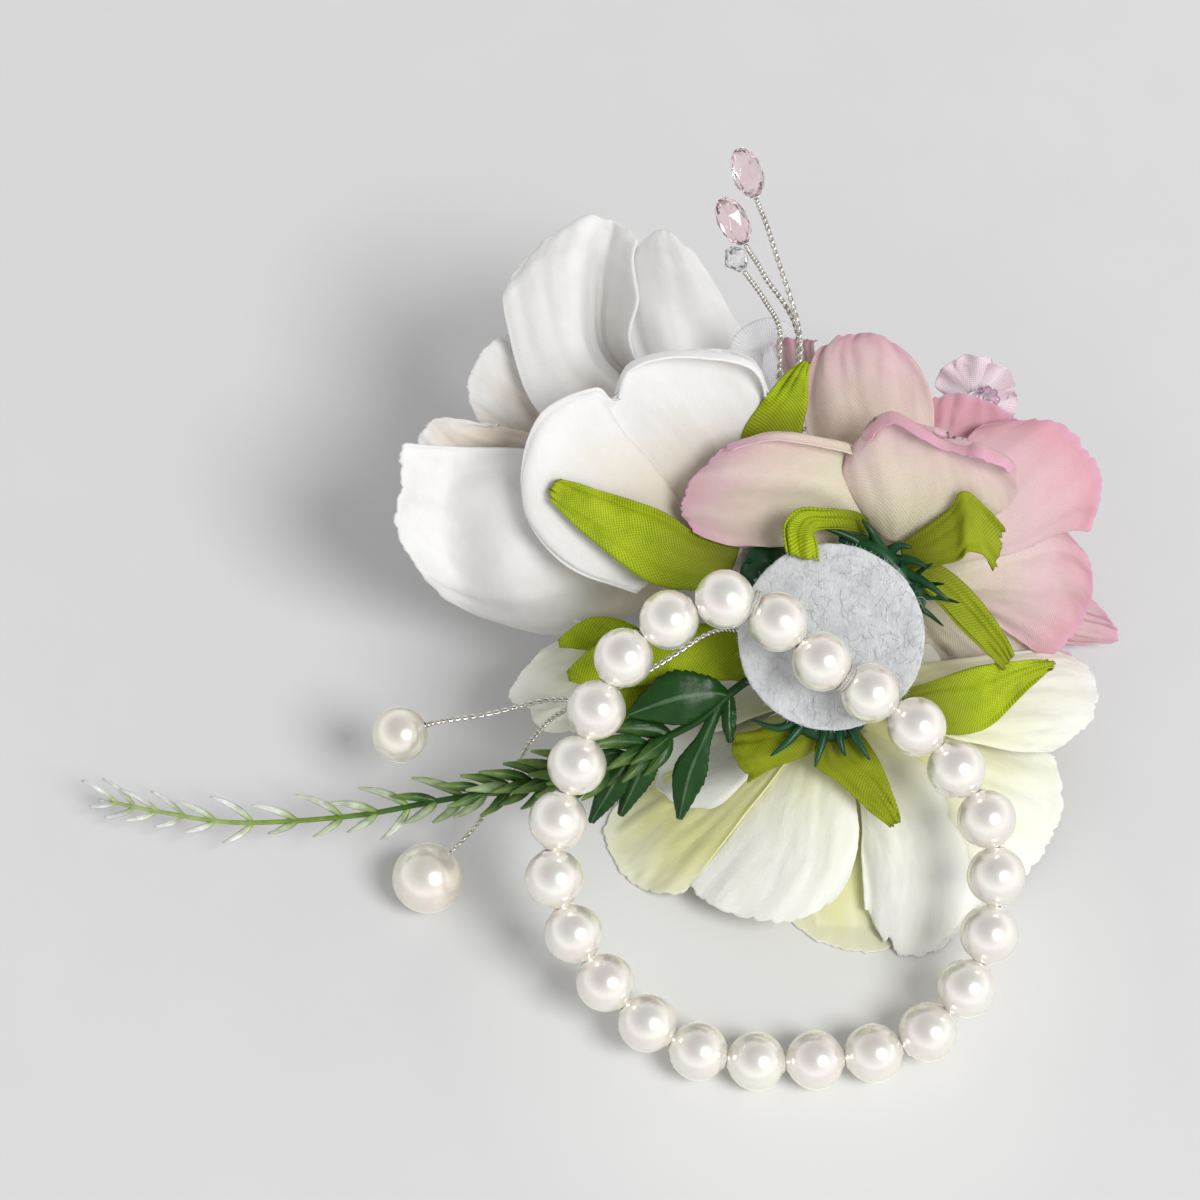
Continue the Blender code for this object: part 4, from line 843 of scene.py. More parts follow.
class Finish:
    """A material, with short ways to add to its nodes."""

    def __init__(self, name, base, roughness, **sockets):
        self.material = bpy.data.materials.new(name)
        self.material.use_nodes = True
        self.tree = self.material.node_tree
        self.shader = self.tree.nodes["Principled BSDF"]
        self.shader.inputs["Base Color"].default_value = (*base, 1.0)
        self.shader.inputs["Roughness"].default_value = roughness
        for socket, value in sockets.items():
            self.shader.inputs[socket.replace("_", " ")].default_value = value

    def put(self, socket, value):
        if isinstance(value, bpy.types.NodeSocket):
            self.tree.links.new(value, socket)
        else:
            socket.default_value = value

    def add(self, kind, inputs=None, **settings):
        node = self.tree.nodes.new("ShaderNode" + kind)
        for name, value in settings.items():
            setattr(node, name, value)
        for name, value in (inputs or {}).items():
            self.put(node.inputs[name], value)
        return node

    def map(self, name):
        """The place on one of the piece's own maps."""
        return self.add("UVMap", uv_map=name).outputs["UV"]

    def place(self):
        return self.add("TexCoord").outputs["Object"]

    def axis(self, vector, letter):
        return self.add("SeparateXYZ", {"Vector": vector}).outputs[letter]

    def moved(self, vector, scale=(1, 1, 1), turn=0.0, shift=(0, 0, 0)):
        return self.add("Mapping", {
            "Vector": vector, "Scale": scale, "Rotation": (0, 0, math.radians(turn)),
            "Location": shift,
        }).outputs["Vector"]

    def cloud(self, vector, scale, detail=2.0, rough=0.5, warp=0.0):
        return self.add("TexNoise", {
            "Vector": vector, "Scale": scale, "Detail": detail, "Roughness": rough,
            "Distortion": warp,
        }).outputs["Fac"]

    def threads(self, vector, pitch, direction, warp=0.6):
        """Parallel threads this far apart, from 0 between them to 1 on them."""
        return self.add("TexWave", {
            "Vector": vector, "Scale": math.pi / (10 * pitch), "Distortion": warp,
            "Detail": 1.0, "Detail Scale": 1.5,
        }, bands_direction=direction).outputs["Fac"]

    def maths(self, operation, *values):
        node = self.add("Math", operation=operation)
        for socket, value in zip(node.inputs, values):
            self.put(socket, value)
        return node.outputs[0]

    def plus(self, first, second):
        return self.maths("ADD", first, second)

    def times(self, first, second):
        return self.maths("MULTIPLY", first, second)

    def ramp(self, factor, *stops):
        """Colours or greys at stops along a factor."""
        node = self.add("ValToRGB", {"Fac": factor})
        marks = node.color_ramp.elements
        while len(marks) < len(stops):
            marks.new(0.5)
        for mark, (position, shade) in zip(marks, stops):
            mark.position = position
            mark.color = (*shade, 1.0) if isinstance(shade, tuple) else (shade,) * 3 + (1.0,)
        return node.outputs["Color"]

    def mix(self, factor, first, second, blend="MIX"):
        node = self.add("Mix", data_type="RGBA", blend_type=blend)
        self.put(node.inputs[0], factor)
        for socket, value in ((node.inputs[6], first), (node.inputs[7], second)):
            self.put(socket, (*value, 1.0) if isinstance(value, tuple) else value)
        return node.outputs[2]

    def over(self, under, shade, factor, *stops, blend="MIX"):
        """Lays a colour over another, as far as the greys at these stops along a factor say."""
        return self.mix(self.ramp(factor, *stops), under, shade, blend)

    def bumps(self, *layers):
        """Layers of (height, depth in metres), coarse to fine."""
        normal = None
        for height, depth in layers:
            node = self.add("Bump", {"Height": height, "Distance": depth, "Strength": 1.0})
            if normal:
                self.put(node.inputs["Normal"], normal)
            normal = node.outputs["Normal"]
        self.put(self.shader.inputs["Normal"], normal)

    def shade(self, value):
        self.put(self.shader.inputs["Base Color"], value)

    def gloss(self, value):
        self.put(self.shader.inputs["Roughness"], value)


def petal_cloth(name, heart, body, rim, stops, weave, creases, hem=None, gloss=0.7):
    """Soft cloth of a petal: root, body and rim colours, a hem of another dye, threads and faint
    folds, and painted shade that darkens and yellows it towards the root.
    """
    finish = Finish(
        name, body, gloss, Subsurface_Weight=0.2, Subsurface_Scale=0.001,
        Subsurface_Radius=(1.0, 0.9, 0.75), Sheen_Weight=0.12, Sheen_Roughness=0.4,
    )
    spread, cloth = finish.map("spread"), finish.map("cloth")
    along = finish.axis(spread, "Y")
    blur = finish.cloud(finish.moved(spread, (4, 1.5, 1)), 1.3, 3.0)
    blur = finish.times(finish.maths("SUBTRACT", blur, 0.5), 0.4)
    tone = finish.maths("SUBTRACT", finish.axis(finish.map("tone"), "X"), 0.5)
    reach = finish.plus(finish.plus(along, blur), tone)
    dye_and_shade = finish.ramp(reach, *zip(stops, (heart, body, rim)))
    worn = finish.cloud(cloth, 130, 3.0, 0.6)
    dye_and_shade = finish.over(dye_and_shade, scaled(heart, 0.8), worn, (0.35, 0.0), (0.75, 0.22), blend="MULTIPLY")
    if hem:
        edge = finish.plus(along, finish.times(blur, 0.35))
        dye_and_shade = finish.over(dye_and_shade, hem, edge, (0.9, 0.0), (0.99, 0.6))
    # Painted shade: darker and yellower towards the root, where the petals crowd round the core
    dye_and_shade = finish.over(dye_and_shade, scaled(heart, 0.8, 0.78, 0.62), along, (0.06, 0.45), (0.3, 0.0))
    slanted = finish.moved(cloth, turn=PETAL_SLANT)
    threads = finish.times(*(finish.threads(slanted, sizes().fine_weave, way) for way in "XY"))
    finish.shade(finish.mix(finish.times(threads, weave), dye_and_shade, scaled(body, 1.12), "SCREEN"))
    folds = finish.cloud(finish.moved(cloth, (170, 60, 1)), 1.0, 2.0, 0.5, 0.8)
    small_folds = finish.cloud(finish.moved(cloth, (420, 130, 1)), 1.0)
    finish.bumps(
        (folds, 3 * creases), (small_folds, creases), (finish.cloud(cloth, 2600), 0.00002),
        (threads, 0.00012 * weave),
    )
    return finish.material


def leaf_cloth():
    """Coarse green cloth whose threads show, with painted shade that darkens it towards the root.
    """
    leaf = tint("leaf")
    finish = Finish("leaf_cloth", leaf, 0.7, Specular_IOR_Level=0.25)
    cloth, spread = finish.map("cloth"), finish.map("spread")
    across, along = finish.axis(spread, "X"), finish.axis(spread, "Y")
    slanted = finish.moved(cloth, turn=LEAF_SLANT)
    over, under = (finish.threads(slanted, sizes().weave, way, 0.7) for way in "XY")
    threads = finish.plus(finish.times(over, 0.25), finish.times(under, 0.6))
    woven = finish.ramp(threads, (0.05, tint("leaf_gap")), (0.85, leaf))
    patches = finish.ramp(finish.cloud(cloth, 150, 4.0, 0.65), (0.4, 0.0), (0.72, 0.6))
    woven = finish.mix(patches, woven, scaled(leaf, 0.6), "MULTIPLY")
    pale = finish.cloud(cloth, 90)
    woven = finish.over(woven, paint(206, 214, 60), pale, (0.5, 0.0), (0.8, 0.35))
    # Painted shade: olive darkening towards the root, where the leaf lies under the blooms
    deep = finish.plus(along, finish.times(patches, 0.25))
    woven = finish.over(woven, paint(84, 84, 16), deep, (0.08, 0.85), (0.55, 0.0))
    woven = finish.over(
        woven, scaled(leaf, 0.45), across, (0.0, 0.3), (0.03, 0.0), (0.97, 0.0), (1.0, 0.3)
    )
    # A tone below one half darkens the cloth towards olive
    tone = finish.axis(finish.map("tone"), "X")
    woven = finish.over(woven, paint(120, 124, 16), tone, (0.1, 0.8), (0.5, 0.0))
    finish.shade(finish.over(woven, paint(120, 104, 44), along, (0.965, 0.0), (1.0, 0.6)))
    finish.bumps((finish.cloud(cloth, 380), 0.0002), (threads, 0.00004))
    return finish.material


def calyx_plastic():
    """Dark green plastic, a little lighter in patches."""
    base = tint("calyx")
    finish = Finish(
        "calyx_plastic", base, 0.35, Specular_IOR_Level=0.3, Coat_Weight=0.08, Coat_Roughness=0.2
    )
    place = finish.place()
    light = tuple(2.2 * part + 0.01 for part in base)
    finish.shade(finish.over(base, light, finish.cloud(place, 240, 3.0), (0.35, 0.0), (0.7, 0.6)))
    finish.bumps((finish.cloud(place, 900), 0.00006))
    return finish.material


def sprig_plastic():
    """Dark green at the root, then leaf green, and almost white at the leaf tips far out."""
    base = tint("sprig")
    finish = Finish("sprig_plastic", base, 0.3, Specular_IOR_Level=0.22)
    shade, place = finish.map("tone"), finish.place()
    out, tip = finish.axis(shade, "X"), finish.axis(shade, "Y")
    body = finish.ramp(
        out, (0.0, paint(32, 72, 26)), (0.25, base), (0.6, paint(48, 88, 26)),
        (0.75, paint(142, 172, 76)), (1.0, paint(196, 212, 140)),
    )
    pale = finish.times(
        finish.ramp(tip, (0.4, 0.0), (1.0, 0.75)), finish.ramp(out, (0.3, 0.0), (0.5, 1.0))
    )
    body = finish.mix(pale, body, paint(150, 178, 92))
    white = finish.times(
        finish.ramp(out, (0.6, 0.0), (0.85, 1.0)), finish.ramp(tip, (0.1, 0.0), (0.5, 1.0))
    )
    body = finish.mix(white, body, tint("sprig_tip"))
    aside = finish.maths("SUBTRACT", finish.axis(finish.map("spread"), "X"), 0.5)
    rib = finish.ramp(finish.maths("ABSOLUTE", aside), (0.02, 0.75), (0.055, 0.0))
    body = finish.mix(finish.times(rib, 0.5), body, paint(128, 156, 124))
    finish.shade(finish.over(
        body, paint(12, 36, 18), finish.cloud(place, 500), (0.35, 0.35), (0.7, 0.0)
    ))
    finish.bumps((finish.cloud(place, 1300), 0.00004))
    return finish.material


def pearl_finish(name, base, rim):
    """A deep pearly coat: a soft glow under a clear skin, a bright rim, and rosy patches of
    painted sheen.
    """
    finish = Finish(
        name, base, 0.24, Metallic=0.48, Specular_Tint=(*rim, 1.0), Coat_Weight=1.0,
        Coat_Roughness=0.19, Coat_IOR=1.5, Coat_Tint=(1.0, 0.995, 0.96, 1.0),
        Sheen_Weight=1.0, Sheen_Roughness=0.22, Sheen_Tint=(*rim, 1.0),
        Subsurface_Weight=0.2, Subsurface_Scale=0.0015,
    )
    place = finish.place()
    # Painted sheen: rosy patches in the colour stand in for the pearl's lustre
    rosy_sheen = scaled(base, 0.96, 0.92, 0.95)
    finish.shade(finish.over(base, rosy_sheen, finish.cloud(place, 240), (0.4, 0.0), (0.65, 1.0)))
    finish.bumps((finish.cloud(place, 700, 1.0), 0.00001))
    return finish.material


def felt_finish():
    """Pressed wool: cloudy, with short fibres that lie every way."""
    base = tint("felt")
    finish = Finish("felt", base, 0.95, Sheen_Weight=0.3, Sheen_Roughness=0.6)
    cloth = finish.map("cloth")
    strands = 0.0
    for turn in FIBRE_TURNS:
        wander = finish.moved(cloth, (2100, 620, 1), turn)
        strands = finish.plus(strands, finish.cloud(wander, 1.0, 3.0, 0.6, 1.6))
    strands = finish.times(strands, 1 / len(FIBRE_TURNS))
    clouds = finish.cloud(cloth, 210, 5.0, 0.65)
    shade = finish.ramp(
        clouds, (0.3, scaled(base, 0.74)), (0.5, base), (0.72, scaled(base, 1.1))
    )
    shade = finish.over(shade, paint(234, 235, 236), strands, (0.5, 0.0), (0.6, 0.5))
    finish.shade(finish.over(shade, paint(158, 160, 163), strands, (0.4, 0.45), (0.47, 0.0)))
    finish.bumps((clouds, 0.00025), (strands, 0.0003))
    return finish.material


def glue_finish():
    """Hot glue: milky and lumpy under a shine."""
    milky = paint(226, 220, 200)
    finish = Finish(
        "hot_glue", milky, 0.22, Subsurface_Weight=0.5, Subsurface_Scale=0.003, Coat_Weight=0.5
    )
    place = finish.place()
    finish.shade(finish.over(
        milky, paint(200, 190, 160), finish.cloud(place, 160, 3.0), (0.4, 0.0), (0.7, 0.7)
    ))
    finish.bumps((finish.cloud(place, 220, 3.0), 0.0004))
    return finish.material


def thread_finish():
    """Clear nylon with a fine twist."""
    finish = Finish("thread", paint(240, 240, 236), 0.25, Transmission_Weight=0.55, IOR=1.4)
    twist = finish.add("TexWave", {
        "Vector": finish.place(), "Scale": math.pi / 0.003, "Distortion": 0.4,
    }, bands_direction="DIAGONAL").outputs["Fac"]
    finish.shade(finish.ramp(twist, (0.0, paint(222, 220, 212)), (0.7, paint(244, 243, 239))))
    finish.bumps((twist, 0.00002))
    return finish.material


def wire_finish():
    """Silvered wire, worn in places."""
    finish = Finish("silver_wire", paint(212, 210, 205), 0.22, Metallic=1.0)
    worn = finish.cloud(finish.place(), 800)
    finish.shade(finish.over(
        paint(222, 220, 214), paint(176, 168, 150), worn, (0.45, 0.0), (0.7, 0.6)
    ))
    finish.gloss(finish.ramp(worn, (0.3, 0.16), (0.8, 0.34)))
    return finish.material


def crystal_finish(name, base):
    """Cut glass with faint clouds in it."""
    finish = Finish(
        name, base, 0.03, Transmission_Weight=0.95, IOR=1.5, Coat_Weight=0.3,
        Specular_IOR_Level=0.6,
    )
    place = finish.place()
    cloudy = finish.cloud(place, 300, 1.0)
    finish.shade(finish.over(base, scaled(base, 1.15), cloudy, (0.4, 0.0), (0.6, 1.0)))
    finish.gloss(finish.ramp(finish.cloud(place, 900), (0.4, 0.02), (0.8, 0.08)))
    return finish.material


def clear_finish():
    """Clear elastic."""
    finish = Finish("clear_elastic", paint(236, 236, 234), 0.16, Transmission_Weight=0.35, IOR=1.45)
    finish.gloss(finish.ramp(finish.cloud(finish.place(), 900), (0.3, 0.1), (0.8, 0.3)))
    return finish.material


def sheer_finish(name, base, rim, cover):
    """Organza: sheer cloth with fine threads both ways and a denser hem."""
    finish = Finish(name, base, 0.45, Sheen_Weight=0.4, Sheen_Roughness=0.3)
    cloth, spread = finish.map("cloth"), finish.map("spread")
    over, under = (finish.threads(cloth, ORGANZA_PITCH, way, 0.4) for way in "XY")
    threads = finish.maths("MAXIMUM", over, under)
    along, across = finish.axis(spread, "Y"), finish.axis(spread, "X")
    sides = finish.ramp(across, (0.0, 1.0), (0.06, 0.0), (0.94, 0.0), (1.0, 1.0))
    hem = finish.maths("MAXIMUM", sides, finish.ramp(along, (0.93, 0.0), (1.0, 1.0)))
    finish.shade(finish.mix(finish.times(along, 0.8), base, rim))
    seen = finish.plus(finish.plus(cover, finish.times(threads, 0.25)), finish.times(hem, 0.3))
    finish.put(finish.shader.inputs["Alpha"], finish.maths("MINIMUM", seen, 1.0))
    finish.bumps((threads, 0.00004))
    return finish.material


# Making pieces


def dressed(name, shape, finish, nodes, sharp=None, thickness=None):
    """Turns a bmesh in plan millimetres into a piece that stands for these nodes.

    Sharp is the angle from which its edges are sharp, and a piece of cloth gets its thickness,
    in metres."""
    bmesh.ops.translate(shape, vec=SHIFT, verts=shape.verts)
    bmesh.ops.scale(shape, vec=(MM, MM, MM), verts=shape.verts)
    mesh = bpy.data.meshes.new(name)
    shape.to_mesh(mesh)
    shape.free()
    mesh.materials.append(finish)
    mesh.shade_smooth()
    if sharp is not None:
        mesh.set_sharp_from_angle(angle=math.radians(sharp))
    piece = bpy.data.objects.new(name, mesh)
    bpy.context.scene.collection.objects.link(piece)
    if thickness is not None:
        wall = piece.modifiers.new("cloth", "SOLIDIFY")
        wall.thickness = thickness
        wall.offset = 0
    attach(piece, "root")
    if nodes:
        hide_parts(*nodes)
    return piece


def surface_of(*pieces):
    """What cloth can be laid on: the faces of these pieces, in the metres of the frame."""
    graph = bpy.context.evaluated_depsgraph_get()
    shape = bmesh.new()
    for piece in pieces:
        shape.from_mesh(piece.evaluated_get(graph).data)
    surface = BVHTree.FromBMesh(shape)
    shape.free()
    return surface


def lay(places, columns, bed, clear, fixed_rows, rounds=24):
    """Raises a grid of places out of the disc's plane so that it lies clear of its bed, taut."""
    rows = len(places) // columns
    needed = []
    for index, place in enumerate(places):
        spot = to_disc(place)
        found = bed.ray_cast(in_frame(from_disc(spot.x, spot.y, ABOVE_ALL)), -OUT)[0]
        short = to_disc(found / MM - SHIFT).z + clear - spot.z if found else 0.0
        needed.append(max(0.0, short) if index // columns >= fixed_rows else 0.0)
    lift = list(needed)
    for _ in range(rounds):
        for index in range(fixed_rows * columns, len(places)):
            row, column = divmod(index, columns)
            near = [lift[index - columns]]
            near += [lift[index + columns]] if row < rows - 1 else []
            near += [lift[index - 1]] if column else []
            near += [lift[index + 1]] if column < columns - 1 else []
            lift[index] = max(needed[index], sum(near) / len(near) * TAUT)
    return [place + OUT * rise for place, rise in zip(places, lift)]


def cloth_grid(shape, columns, rows, point, tone, bed, clear, fixed=1):
    """Adds a sheet of cloth to a bmesh: point(u, v) gives its place and its place when flat.

    Of its maps, cloth is the flat cloth in metres, spread runs from 0 to 1 both ways, and tone
    holds how much of the dye it took, which on the petals behind others paints their shade. It
    lies this far clear of its bed, where it has one, but for the first rows, which are fixed."""
    maps = {name: shape.loops.layers.uv.get(name) or shape.loops.layers.uv.new(name)
            for name in ("cloth", "spread", "tone")}
    made = bmesh.ops.create_grid(shape, x_segments=columns, y_segments=rows, size=1)["verts"]
    made.sort(key=lambda vert: (round(vert.co.y, 5), vert.co.x))
    spots = {vert: (vert.co.x, (vert.co.y + 1) / 2) for vert in made}
    found = {vert: point(*spots[vert]) for vert in made}
    for face in {face for vert in made for face in vert.link_faces}:
        for loop in face.loops:
            u, v = spots[loop.vert]
            loop[maps["cloth"]].uv = Vector(found[loop.vert][1]) * MM
            loop[maps["spread"]].uv = ((u + 1) / 2, v)
            loop[maps["tone"]].uv = (tone, v)
    places = [found[vert][0] for vert in made]
    if bed:
        places = lay(places, columns + 1, bed, clear, fixed)
    for vert, place in zip(made, places):
        vert.co = place
        vert.co.z = max(vert.co.z, LOWEST_CLOTH)


def petals_of(shape, bloom, grid, ruffle, seed, bed=None, nets=None, fray=1.0):
    """Adds a bloom's petals, with the nets of those that have one."""
    base, facing, top, right = bloom_frame(bloom)
    root = PETAL_ROOT * bloom.core
    for number, petal in enumerate(bloom.petals):
        turn = math.radians(petal.turn)
        outward = top * math.cos(turn) + right * math.sin(turn)
        sideways = right * math.cos(turn) - top * math.sin(turn)
        mark = seed + 1.7 * number

        def plain(u, v):
            radial, axial, side, flat = petal_point(petal, root, u, v, mark, ruffle)
            return base + outward * radial + facing * axial + sideways * side, flat

        has_net = nets and number in nets
        point = from_net(nets[number], mark, ruffle, fray) if has_net else plain
        cloth_grid(
            shape, *(NET_GRID if has_net else grid), point, 0.5 + petal.tone,
            bed if petal.over else None, PETAL_CLEARANCE,
        )


def flat_place(co):
    """A point's place on its piece's cloth map, seen along the piece's own Z axis."""
    return co.x * MM, co.y * MM


def bloom_pieces(node, bloom, nets, finish, thickness, ruffle, seed, bed=None, fray=1.7):
    """A bloom's petals, and the tight core that they are glued round. The petals come back."""
    shape = bmesh.new()
    petals_of(shape, bloom, PLAIN_GRID, ruffle, seed, bed, nets, fray)
    petals = dressed(node + "_petals", shape, finish, (node,), thickness=thickness)
    base, facing, _, _ = bloom_frame(bloom)
    heart = bmesh.new()
    radius = CORE_SHARE * bloom.core
    bmesh.ops.create_uvsphere(heart, u_segments=24, v_segments=16, radius=radius)
    mapped(heart, cloth=flat_place, spread=(0.5, 0.2), tone=(0.5, 0.5))
    for vert in heart.verts:
        turn = math.atan2(vert.co.y, vert.co.x)
        vert.co *= 1 + 0.05 * math.sin(3 * turn + 1.1 * vert.co.z)
        vert.co.z *= CORE_BACK if vert.co.z < 0 else 1
    dressed(node + "_core", placed(heart, base, facing), finish, ())
    return petals


def turned(outline, sides):
    """A bmesh turned round the Z axis from an outline of (radius, height), bottom to top."""
    shape = bmesh.new()
    points = [shape.verts.new((radius, 0.0, height)) for radius, height in outline]
    edges = [shape.edges.new(pair) for pair in zip(points, points[1:])]
    if outline[0][0] > 0 and outline[-1][0] > 0:
        edges.append(shape.edges.new((points[-1], points[0])))
    bmesh.ops.spin(
        shape, geom=points + edges, axis=(0, 0, 1), cent=(0, 0, 0), angle=math.tau, steps=sides,
        use_merge=True,
    )
    bmesh.ops.remove_doubles(shape, verts=shape.verts, dist=MERGED)
    bmesh.ops.recalc_face_normals(shape, faces=shape.faces)
    return shape


def ball_outline(radius, start, end, steps):
    """Points of a ball's outline for turned, between two angles from its foot."""
    angles = [start + (end - start) * step / steps for step in range(steps + 1)]
    return [(radius * math.sin(angle), -radius * math.cos(angle)) for angle in angles]


def placed(shape, origin, axis, top=UP):
    """Moves a shape that is built along +Z to this origin and axis."""
    up = (top - axis * top.dot(axis)).normalized()
    turn = Matrix((up.cross(axis), up, axis)).transposed().to_4x4()
    bmesh.ops.transform(shape, matrix=Matrix.Translation(origin) @ turn, verts=shape.verts)
    return shape


def joined(shapes):
    """One bmesh of several, each freed."""
    whole = bmesh.new()
    for shape in shapes:
        mesh = bpy.data.meshes.new("part")
        shape.to_mesh(mesh)
        shape.free()
        whole.from_mesh(mesh)
        bpy.data.meshes.remove(mesh)
    return whole


def mapped(shape, **maps):
    """Gives a shape UV maps: each one fixed place, or what a function makes of a point's place."""
    for name, at in maps.items():
        layer = shape.loops.layers.uv.new(name)
        for face in shape.faces:
            for loop in face.loops:
                loop[layer].uv = at(loop.vert.co) if callable(at) else at
    return shape


def tubes(lines, sides=8, closed=False):
    """Round tubes, one for each line of (place, radius) points of the plan."""
    curve = bpy.data.curves.new("line", "CURVE")
    curve.dimensions = "3D"
    curve.bevel_depth = 1.0
    curve.bevel_resolution = sides // 2 - 2
    curve.use_fill_caps = True
    for line in lines:
        spline = curve.splines.new("POLY")
        spline.points.add(len(line) - 1)
        for point, (place, radius) in zip(spline.points, line):
            point.co = (*place, 1.0)
            point.radius = radius
        spline.use_cyclic_u = closed
    guide = bpy.data.objects.new("line", curve)
    bpy.context.scene.collection.objects.link(guide)
    mesh = bpy.data.meshes.new_from_object(
        guide.evaluated_get(bpy.context.evaluated_depsgraph_get())
    )
    bpy.data.objects.remove(guide)
    bpy.data.curves.remove(curve)
    shape = bmesh.new()
    shape.from_mesh(mesh)
    bpy.data.meshes.remove(mesh)
    bmesh.ops.remove_doubles(shape, verts=shape.verts, dist=MERGED)
    bmesh.ops.recalc_face_normals(shape, faces=shape.faces)
    return shape


def rod_line(route, radius, steps, taper=None):
    """The (place, radius) points of a rod along a smooth route of (right, up, out) points."""
    shares = [step / steps for step in range(steps + 1)]
    return [(from_disc(*smooth_open(route, share).to_3d()), radius * (taper(share) if taper else 1))
            for share in shares]


def pointed(blunt, fall):
    """The taper of a spike: its radius at its end, as a share, and how fast it falls to it."""
    return lambda share: blunt + (1 - blunt) * (1 - share) ** fall


def twisted_lines(route, strand):
    """Two strands of wire twisted round each other along a route, for tubes."""
    long = length_of(route)
    steps = round(long / WIRE_PITCH * 8)
    side, lines = None, ([], [])
    for step in range(steps + 1):
        share = step / steps
        run = run_of(route, share)
        side = run.cross(OUT_OF_DISC) if side is None else side - run * side.dot(run)
        side.normalize()
        wander = WIRE_WANDER * ripple(share * long / 6, long, 1.0)
        middle = smooth_open(route, share).to_3d() + side * wander
        turn = math.tau * share * long / WIRE_PITCH
        away = side * math.cos(turn) + run.cross(side) * math.sin(turn)
        for sign, line in zip((1, -1), lines):
            line.append((from_disc(*(middle + away * strand * STRANDS_APART * sign)), strand))
    return lines


def leaf_sheet(shape, route, columns, rows, root=OUT_OF_DISC, straight=0.0, bed=None, fold=0.5,
               rag=0.05, seed=0.0, outline=None, tone=0.5, steps=40):
    """Adds one leaf along its midrib of (right, up, out, width) points.

    It faces root's way at first, and turns out of the disc once past straight. It is folded a
    little along its midrib, ragged at its edges, and lies clear of its bed."""
    marks = marks_along([smooth_open(route, step / steps).to_3d() for step in range(steps + 1)])

    def point(u, v):
        facing = root.lerp(OUT_OF_DISC, min(1, 1.8 * max(0, v - straight))).normalized()
        run = run_of(route, v)
        across = run.cross(facing).normalized()
        facing = across.cross(run)
        middle = smooth_open(route, v)
        half = middle[3] / 2 * (outline(v, u) if outline else 1)
        cut = 1 + rag * (ripple(v * 14, seed, 3 + u) + 0.6 * ripple(v * 45, seed, u)) * abs(u)
        lift = 0.3 * ripple(u * 1.4, v * 4, seed) + 0.35 * abs(u) ** 3 * ripple(v * 7, u, seed + 5)
        place = middle.to_3d() + across * half * cut * u - facing * (fold * abs(u) ** 1.3 - lift)
        mark = min(int(steps * v), steps - 1)
        long = marks[mark] + (marks[mark + 1] - marks[mark]) * (steps * v - mark)
        return from_disc(*place), (half * cut * u, long)

    fixed = max(1, round(straight * rows))
    cloth_grid(shape, columns, rows, point, tone, bed, LEAF_CLEARANCE, fixed)


# Operators, one for each group of pieces


class MakeBracelet(bpy.types.Operator):
    """Makes the pearls, the clear elastic and the stitches"""

    bl_idname = "corsage.bracelet"
    bl_label = "Bracelet"

    def execute(self, context):
        finish = pearl_finish("bracelet_pearl", tint("pearl"), PEARL_RIM)
        outline = self.pearl_outline(sizes().pearl / MM / 2, sizes().bore / MM / 2)
        path = bracelet_path(PEARLS)
        for number, middle in enumerate(path):
            axis = (path[(number + 1) % PEARLS] - path[number - 1]).normalized()
            node = f"pearl_{number + 1:02d}"
            shape = placed(turned(outline, PEARL_SIDES), middle, axis)
            dressed(node + "_coated", shape, finish, (node,), 50)
        line = [(place, sizes().elastic / MM / 2) for place in bracelet_path(8 * PEARLS)]
        shape = tubes([line], 8, True)
        dressed("elastic", shape, clear_finish(), ("elastic_cord",))
        self.stitches()
        return {"FINISHED"}

    def pearl_outline(self, radius, hole):
        """The ball of a pearl between the two ends of its bore, each with a wall and a flat rim."""
        start, end = math.asin(PEARL_NUB / radius), PEARL_HALF_LENGTH
        mouth = (
            (hole, end - BORE_DEPTH), (hole, end - 0.15), (hole + 0.12, end),
            (PEARL_NUB - 0.25, end), (PEARL_NUB - 0.05, end - 0.1),
        )
        ball = ball_outline(radius, start, math.pi - start, 26)
        return [*((wide, -height) for wide, height in mouth), *ball, *reversed(mouth)]

    def stitches(self):
        """Two turns of thread round the elastic, and their leg down to the felt."""
        finish = thread_finish()
        path = bracelet_path(2 * PEARLS)
        width = sizes().thread / MM / 2
        for number, place in enumerate(STITCHES):
            index = round(2 * place)
            middle = path[index]
            axis = (path[index + 1] - path[index - 1]).normalized()
            side = axis.cross(OUT).normalized()
            up = side.cross(axis)
            loops = [
                [(middle + (side * math.sin(turn) + up * math.cos(turn)) * STITCH_LOOP
                  + axis * width * shift, width)
                 for turn in (step * math.tau / STITCH_POINTS for step in range(STITCH_POINTS))]
                for shift in (-1, 1)
            ]
            height = (middle - DISC_MIDDLE).dot(OUT)
            foot = middle - OUT * (height - 0.02)
            knot = middle - up * STITCH_LOOP
            legs = [
                [(knot.lerp(foot, step / LEG_POINTS)
                  + axis * width * shift * math.cos(step * LEG_TWIST)
                  + side * width * shift * math.sin(step * LEG_TWIST), width)
                 for step in range(LEG_POINTS + 1)]
                for shift in (-1, 1)
            ]
            node = f"thread_stitch_{number + 1}"
            shape = joined([tubes(loops, 8, True), tubes(legs, 8)])
            dressed(node + "_sewn", shape, finish, (node,))


